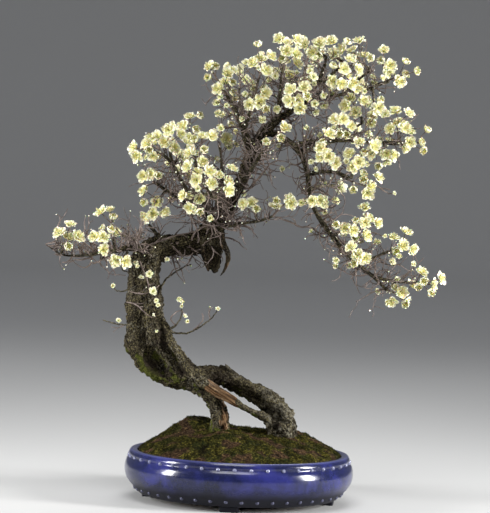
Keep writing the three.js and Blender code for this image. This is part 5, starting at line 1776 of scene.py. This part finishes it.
def petal_material():
    graph = Graph("petal")
    reach, chance, whorl, edge = graph.tone()
    veins = graph.noise(graph.place(scale=(1, 0.12, 1)), 1400, 3, 0.6)
    # The heart tint: the yellow-green base of each petal, partly its own colour and partly painted shade
    # where the whorls lie over each other, stronger on the inner whorls.
    heart = graph.ramp(reach, (0.0, 1), (0.45, 0.8), (0.76, 0.46), (0.93, 0.02))
    heart = graph.plus(heart, graph.times(whorl, 0.2), clamp=True)
    colour = graph.mix(heart, (0.96, 0.94, 0.79), (0.73, 0.70, 0.22))
    colour = graph.mix(graph.times(chance, 0.4), colour, (0.97, 0.955, 0.84))
    colour = graph.over(colour, veins, (0.5, 0), (0.72, 0.3), (0.80, 0.77, 0.42))
    rim = graph.times(graph.ramp(edge, (0.75, 0), (1.0, 0.25)), graph.ramp(reach, (0.5, 0), (0.95, 1)))
    colour = graph.mix(rim, colour, (0.80, 0.70, 0.50))
    return graph.finish(colour, 0.55, graph.bump(veins, 0.0003, 0.6), Subsurface_Weight=0.12,
                        Subsurface_Scale=0.004, Sheen_Weight=0.15, Specular_IOR_Level=0.3)


def plain_plant_material(name, dark, light, scale, roughness):
    graph = Graph(name)
    place = graph.object_place()
    blotch = graph.noise(place, scale, 4, 0.6)
    colour = graph.ramp(blotch, (0.34, dark), (0.66, light))
    return graph.finish(colour, roughness, graph.bump(blotch, 0.0003, 0.5), Specular_IOR_Level=0.3)


def glaze_material():
    graph = Graph("cobalt_glaze")
    stud = graph.tone()[0]
    place = graph.object_place()
    height = graph.node("ShaderNodeSeparateXYZ", {"Vector": place}).outputs["Z"]
    mottle = graph.noise(place, 13, 6, 0.62, 0.5)
    speckle = graph.noise(place, 620, 3, 0.6)
    drips = graph.noise(graph.place(place, (1, 1, 0.12)), 46, 5, 0.6)
    colour = graph.ramp(mottle, (0.32, (0.002, 0.004, 0.019)), (0.49, (0.006, 0.009, 0.050)),
                        (0.64, (0.021, 0.024, 0.155)))
    colour = graph.over(colour, speckle, (0.56, 0), (0.7, 0.35), (0.06, 0.066, 0.24))
    colour = graph.over(colour, drips, (0.50, 0), (0.72, 0.5), (0.006, 0.008, 0.036))
    decimetres = graph.times(height, 10)
    # Painted highlight: the top of the rim is paler blue.
    colour = graph.over(colour, decimetres, (0.825, 0), (0.858, 0.5), (0.10, 0.11, 0.27))
    # Painted shade: the lower band, where the belly turns under, is darkened nearly to black; it is also made
    # rougher and less glossy.
    low = graph.ramp(graph.plus(decimetres, graph.times(mottle, 0.12)), (0.30, 0.96), (0.50, 0))
    colour = graph.mix(low, colour, (0.010, 0.010, 0.014))
    # Pale studs: partly glaze breaking thin over them and partly painted highlight.
    colour = graph.mix(graph.times(stud, 0.75), colour, (0.24, 0.25, 0.38))
    rough = graph.plus(graph.ramp(speckle, (0.4, 0.12), (0.75, 0.30)), graph.times(low, 0.3))
    return graph.finish(colour, rough, graph.bump(speckle, 0.00025, 0.25, graph.bump(mottle, 0.0015, 0.25)),
                        Specular_IOR_Level=graph.ramp(low, (0, 0.46), (0.9, 0.12)),
                        Coat_Weight=graph.ramp(low, (0, 0.27), (0.9, 0.04)), Coat_Roughness=0.1)


def clay_material():
    graph = Graph("bare_clay")
    place = graph.object_place()
    grit = graph.noise(place, 700, 5, 0.7)
    colour = graph.ramp(grit, (0.35, (0.10, 0.055, 0.035)), (0.65, (0.22, 0.13, 0.085)))
    return graph.finish(colour, 0.85, graph.bump(grit, 0.0006, 0.6))


def moss_material():
    graph = Graph("moss")
    growth, level, _, shade = graph.tone()
    place = graph.object_place()
    fine = graph.noise(place, 250, 6, 0.72)
    patch = graph.noise(place, 40, 5, 0.6)
    green = graph.ramp(fine, (0.38, (0.006, 0.006, 0.002)), (0.51, (0.038, 0.035, 0.007)),
                       (0.63, (0.20, 0.17, 0.030)))
    green = graph.over(green, patch, (0.42, 0), (0.62, 0.7), (0.012, 0.018, 0.005))
    brown = graph.ramp(fine, (0.38, (0.006, 0.004, 0.002)), (0.52, (0.044, 0.024, 0.012)),
                       (0.64, (0.17, 0.100, 0.048)))
    colour = graph.mix(graph.frayed(growth, fine, 0.8, (0.05, 0), (0.45, 1)), brown, green)
    # Painted shade: darker in the low places between the cushions.
    colour = graph.over(colour, level, (0.2, 0.9), (0.55, 0), (0.008, 0.006, 0.003))
    colour = graph.mix(1.0, colour, shade, "MULTIPLY")
    return graph.finish(colour, 0.92, graph.bump(fine, 0.003, 1.0), Specular_IOR_Level=0.08)


def soil_material():
    graph = Graph("soil")
    place = graph.object_place()
    grit = graph.cells(place, 420)
    blotch = graph.noise(place, 160, 4)
    colour = graph.mix(blotch, (0.05, 0.032, 0.018), (0.16, 0.11, 0.065))
    return graph.finish(colour, 0.95, graph.bump(grit, 0.0015, 0.8))


def screen_material():
    graph = Graph("screen_mesh")
    grain = graph.noise(graph.object_place(), 900, 3)
    return graph.finish(graph.ramp(grain, (0.3, (0.012, 0.013, 0.013)), (0.7, (0.035, 0.037, 0.036))), 0.55,
                        graph.bump(grain, 0.0002, 0.4))


def floor_material():
    graph = Graph("studio_floor")
    return graph.finish((0.62, 0.62, 0.61, 1), 0.9)


# The object
sprays = place_sprays()
bark, petal, twig_bark = bark_material(), petal_material(), twig_material()
stamen = plain_plant_material("stamen", (0.62, 0.64, 0.34), (0.82, 0.82, 0.58), 300, 0.6)
anther = plain_plant_material("anther", (0.66, 0.55, 0.14), (0.86, 0.76, 0.30), 900, 0.7)
calyx = plain_plant_material("calyx", (0.22, 0.25, 0.07), (0.42, 0.44, 0.15), 500, 0.6)

wood = Shape()
make_body(wood)
make_limbs(wood, sprays)
wood.make("wood", [bark], "wood", replaced=("tree",))
for spray in sprays:
    make_spray(spray, [petal, stamen, anther, calyx, twig_bark])
make_fine_twigs([twig_bark, petal, calyx])
make_pot([glaze_material(), clay_material()])
make_moss([moss_material()])
for node, material in (("soil", soil_material()), ("drain_screen_left", screen_material()),
                       ("drain_screen_right", screen_material())):
    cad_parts[node].data.materials.clear()
    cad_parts[node].data.materials.append(material)

# Stage
BOWL_TURNS = 64
BOWL_RADIUS = 9
BOWL_BEND = 2.5
BOWL_TOP = 7
LIGHTS = (
    # name, place, aim, size, watts and spread
    ("left", (-2.5, -0.75, 0.85), 0.45, (0.45, 1.1), 18, 80),
    ("right", (2.5, -0.75, 0.85), 0.45, (0.45, 1.1), 26, 80),
    ("front", (-0.3, -1.9, 3.5), 0.5, (2.2, 1.6), 68, 180),
    ("back", (0.5, 2.2, 2.6), 0.5, (1.4, 1.0), 18, 180),
)
SKY_COLOUR = (0.92, 0.94, 1.0, 1)
SKY_STRENGTH = 0.3


def add_backdrop():
    """Pale floor all round the object that curves up into a wall."""
    rows = [(0.01, 0), (3, 0), (6, 0), (BOWL_RADIUS, 0)]
    rows += [(BOWL_RADIUS + BOWL_BEND * math.sin(a), BOWL_BEND - BOWL_BEND * math.cos(a))
             for a in np.linspace(0.1, math.pi / 2, 14)]
    rows += [(BOWL_RADIUS + BOWL_BEND, BOWL_TOP)]
    points = [(radius * math.cos(a), radius * math.sin(a), z) for radius, z in rows
              for a in turns(BOWL_TURNS)]
    mesh = bpy.data.meshes.new("backdrop")
    mesh.from_pydata(points, [], grid_quads(len(rows), BOWL_TURNS, True).tolist())
    for polygon in mesh.polygons:
        polygon.use_smooth = True
    mesh.materials.append(floor_material())
    backdrop = bpy.data.objects.new("backdrop", mesh)
    bpy.context.scene.collection.objects.link(backdrop)


def add_light(name, place, aim, size, watts, spread):
    """Soft rectangular light that faces a point aim metres above the floor, with its spread in degrees."""
    light = bpy.data.lights.new(name, "AREA")
    light.shape = "RECTANGLE"
    light.size, light.size_y = size
    light.energy = watts
    light.spread = math.radians(spread)
    lamp = bpy.data.objects.new(name, light)
    back = unit(np.array(place, float) - (0, 0, aim))
    right = unit(np.cross((0.0, 0.0, 1.0), back))
    up = np.cross(back, right)
    rows = [[right[k], up[k], back[k], place[k]] for k in range(3)] + [[0, 0, 0, 1]]
    lamp.matrix_world = Matrix(rows)
    bpy.context.scene.collection.objects.link(lamp)


def add_camera():
    """The photograph's viewing angle: far off, a little above, and rolled so that the right dips."""
    camera = bpy.data.cameras.new("camera")
    camera.sensor_fit = "HORIZONTAL"
    camera.sensor_width = SENSOR_WIDTH
    camera.lens = SENSOR_WIDTH * FOCAL_PIXELS / PHOTO_WIDTH
    camera.clip_end = 100
    viewer = bpy.data.objects.new("camera", camera)
    place = (np.array(CAMERA_PLACE) + AXIS_PLACE) / 1000
    pitch = Matrix.Rotation(math.radians(90 - CAMERA_PITCH), 4, "X")
    roll = Matrix.Rotation(math.radians(CAMERA_ROLL), 4, "Z")
    viewer.matrix_world = Matrix.Translation(place) @ pitch @ roll
    bpy.context.scene.collection.objects.link(viewer)
    bpy.context.scene.camera = viewer


add_backdrop()
for light_settings in LIGHTS:
    add_light(*light_settings)
world = bpy.data.worlds.new("studio")
world.use_nodes = True
world.node_tree.nodes["Background"].inputs["Color"].default_value = SKY_COLOUR
world.node_tree.nodes["Background"].inputs["Strength"].default_value = SKY_STRENGTH
bpy.context.scene.world = world
bpy.context.scene.view_settings.view_transform = "Standard"
add_camera()
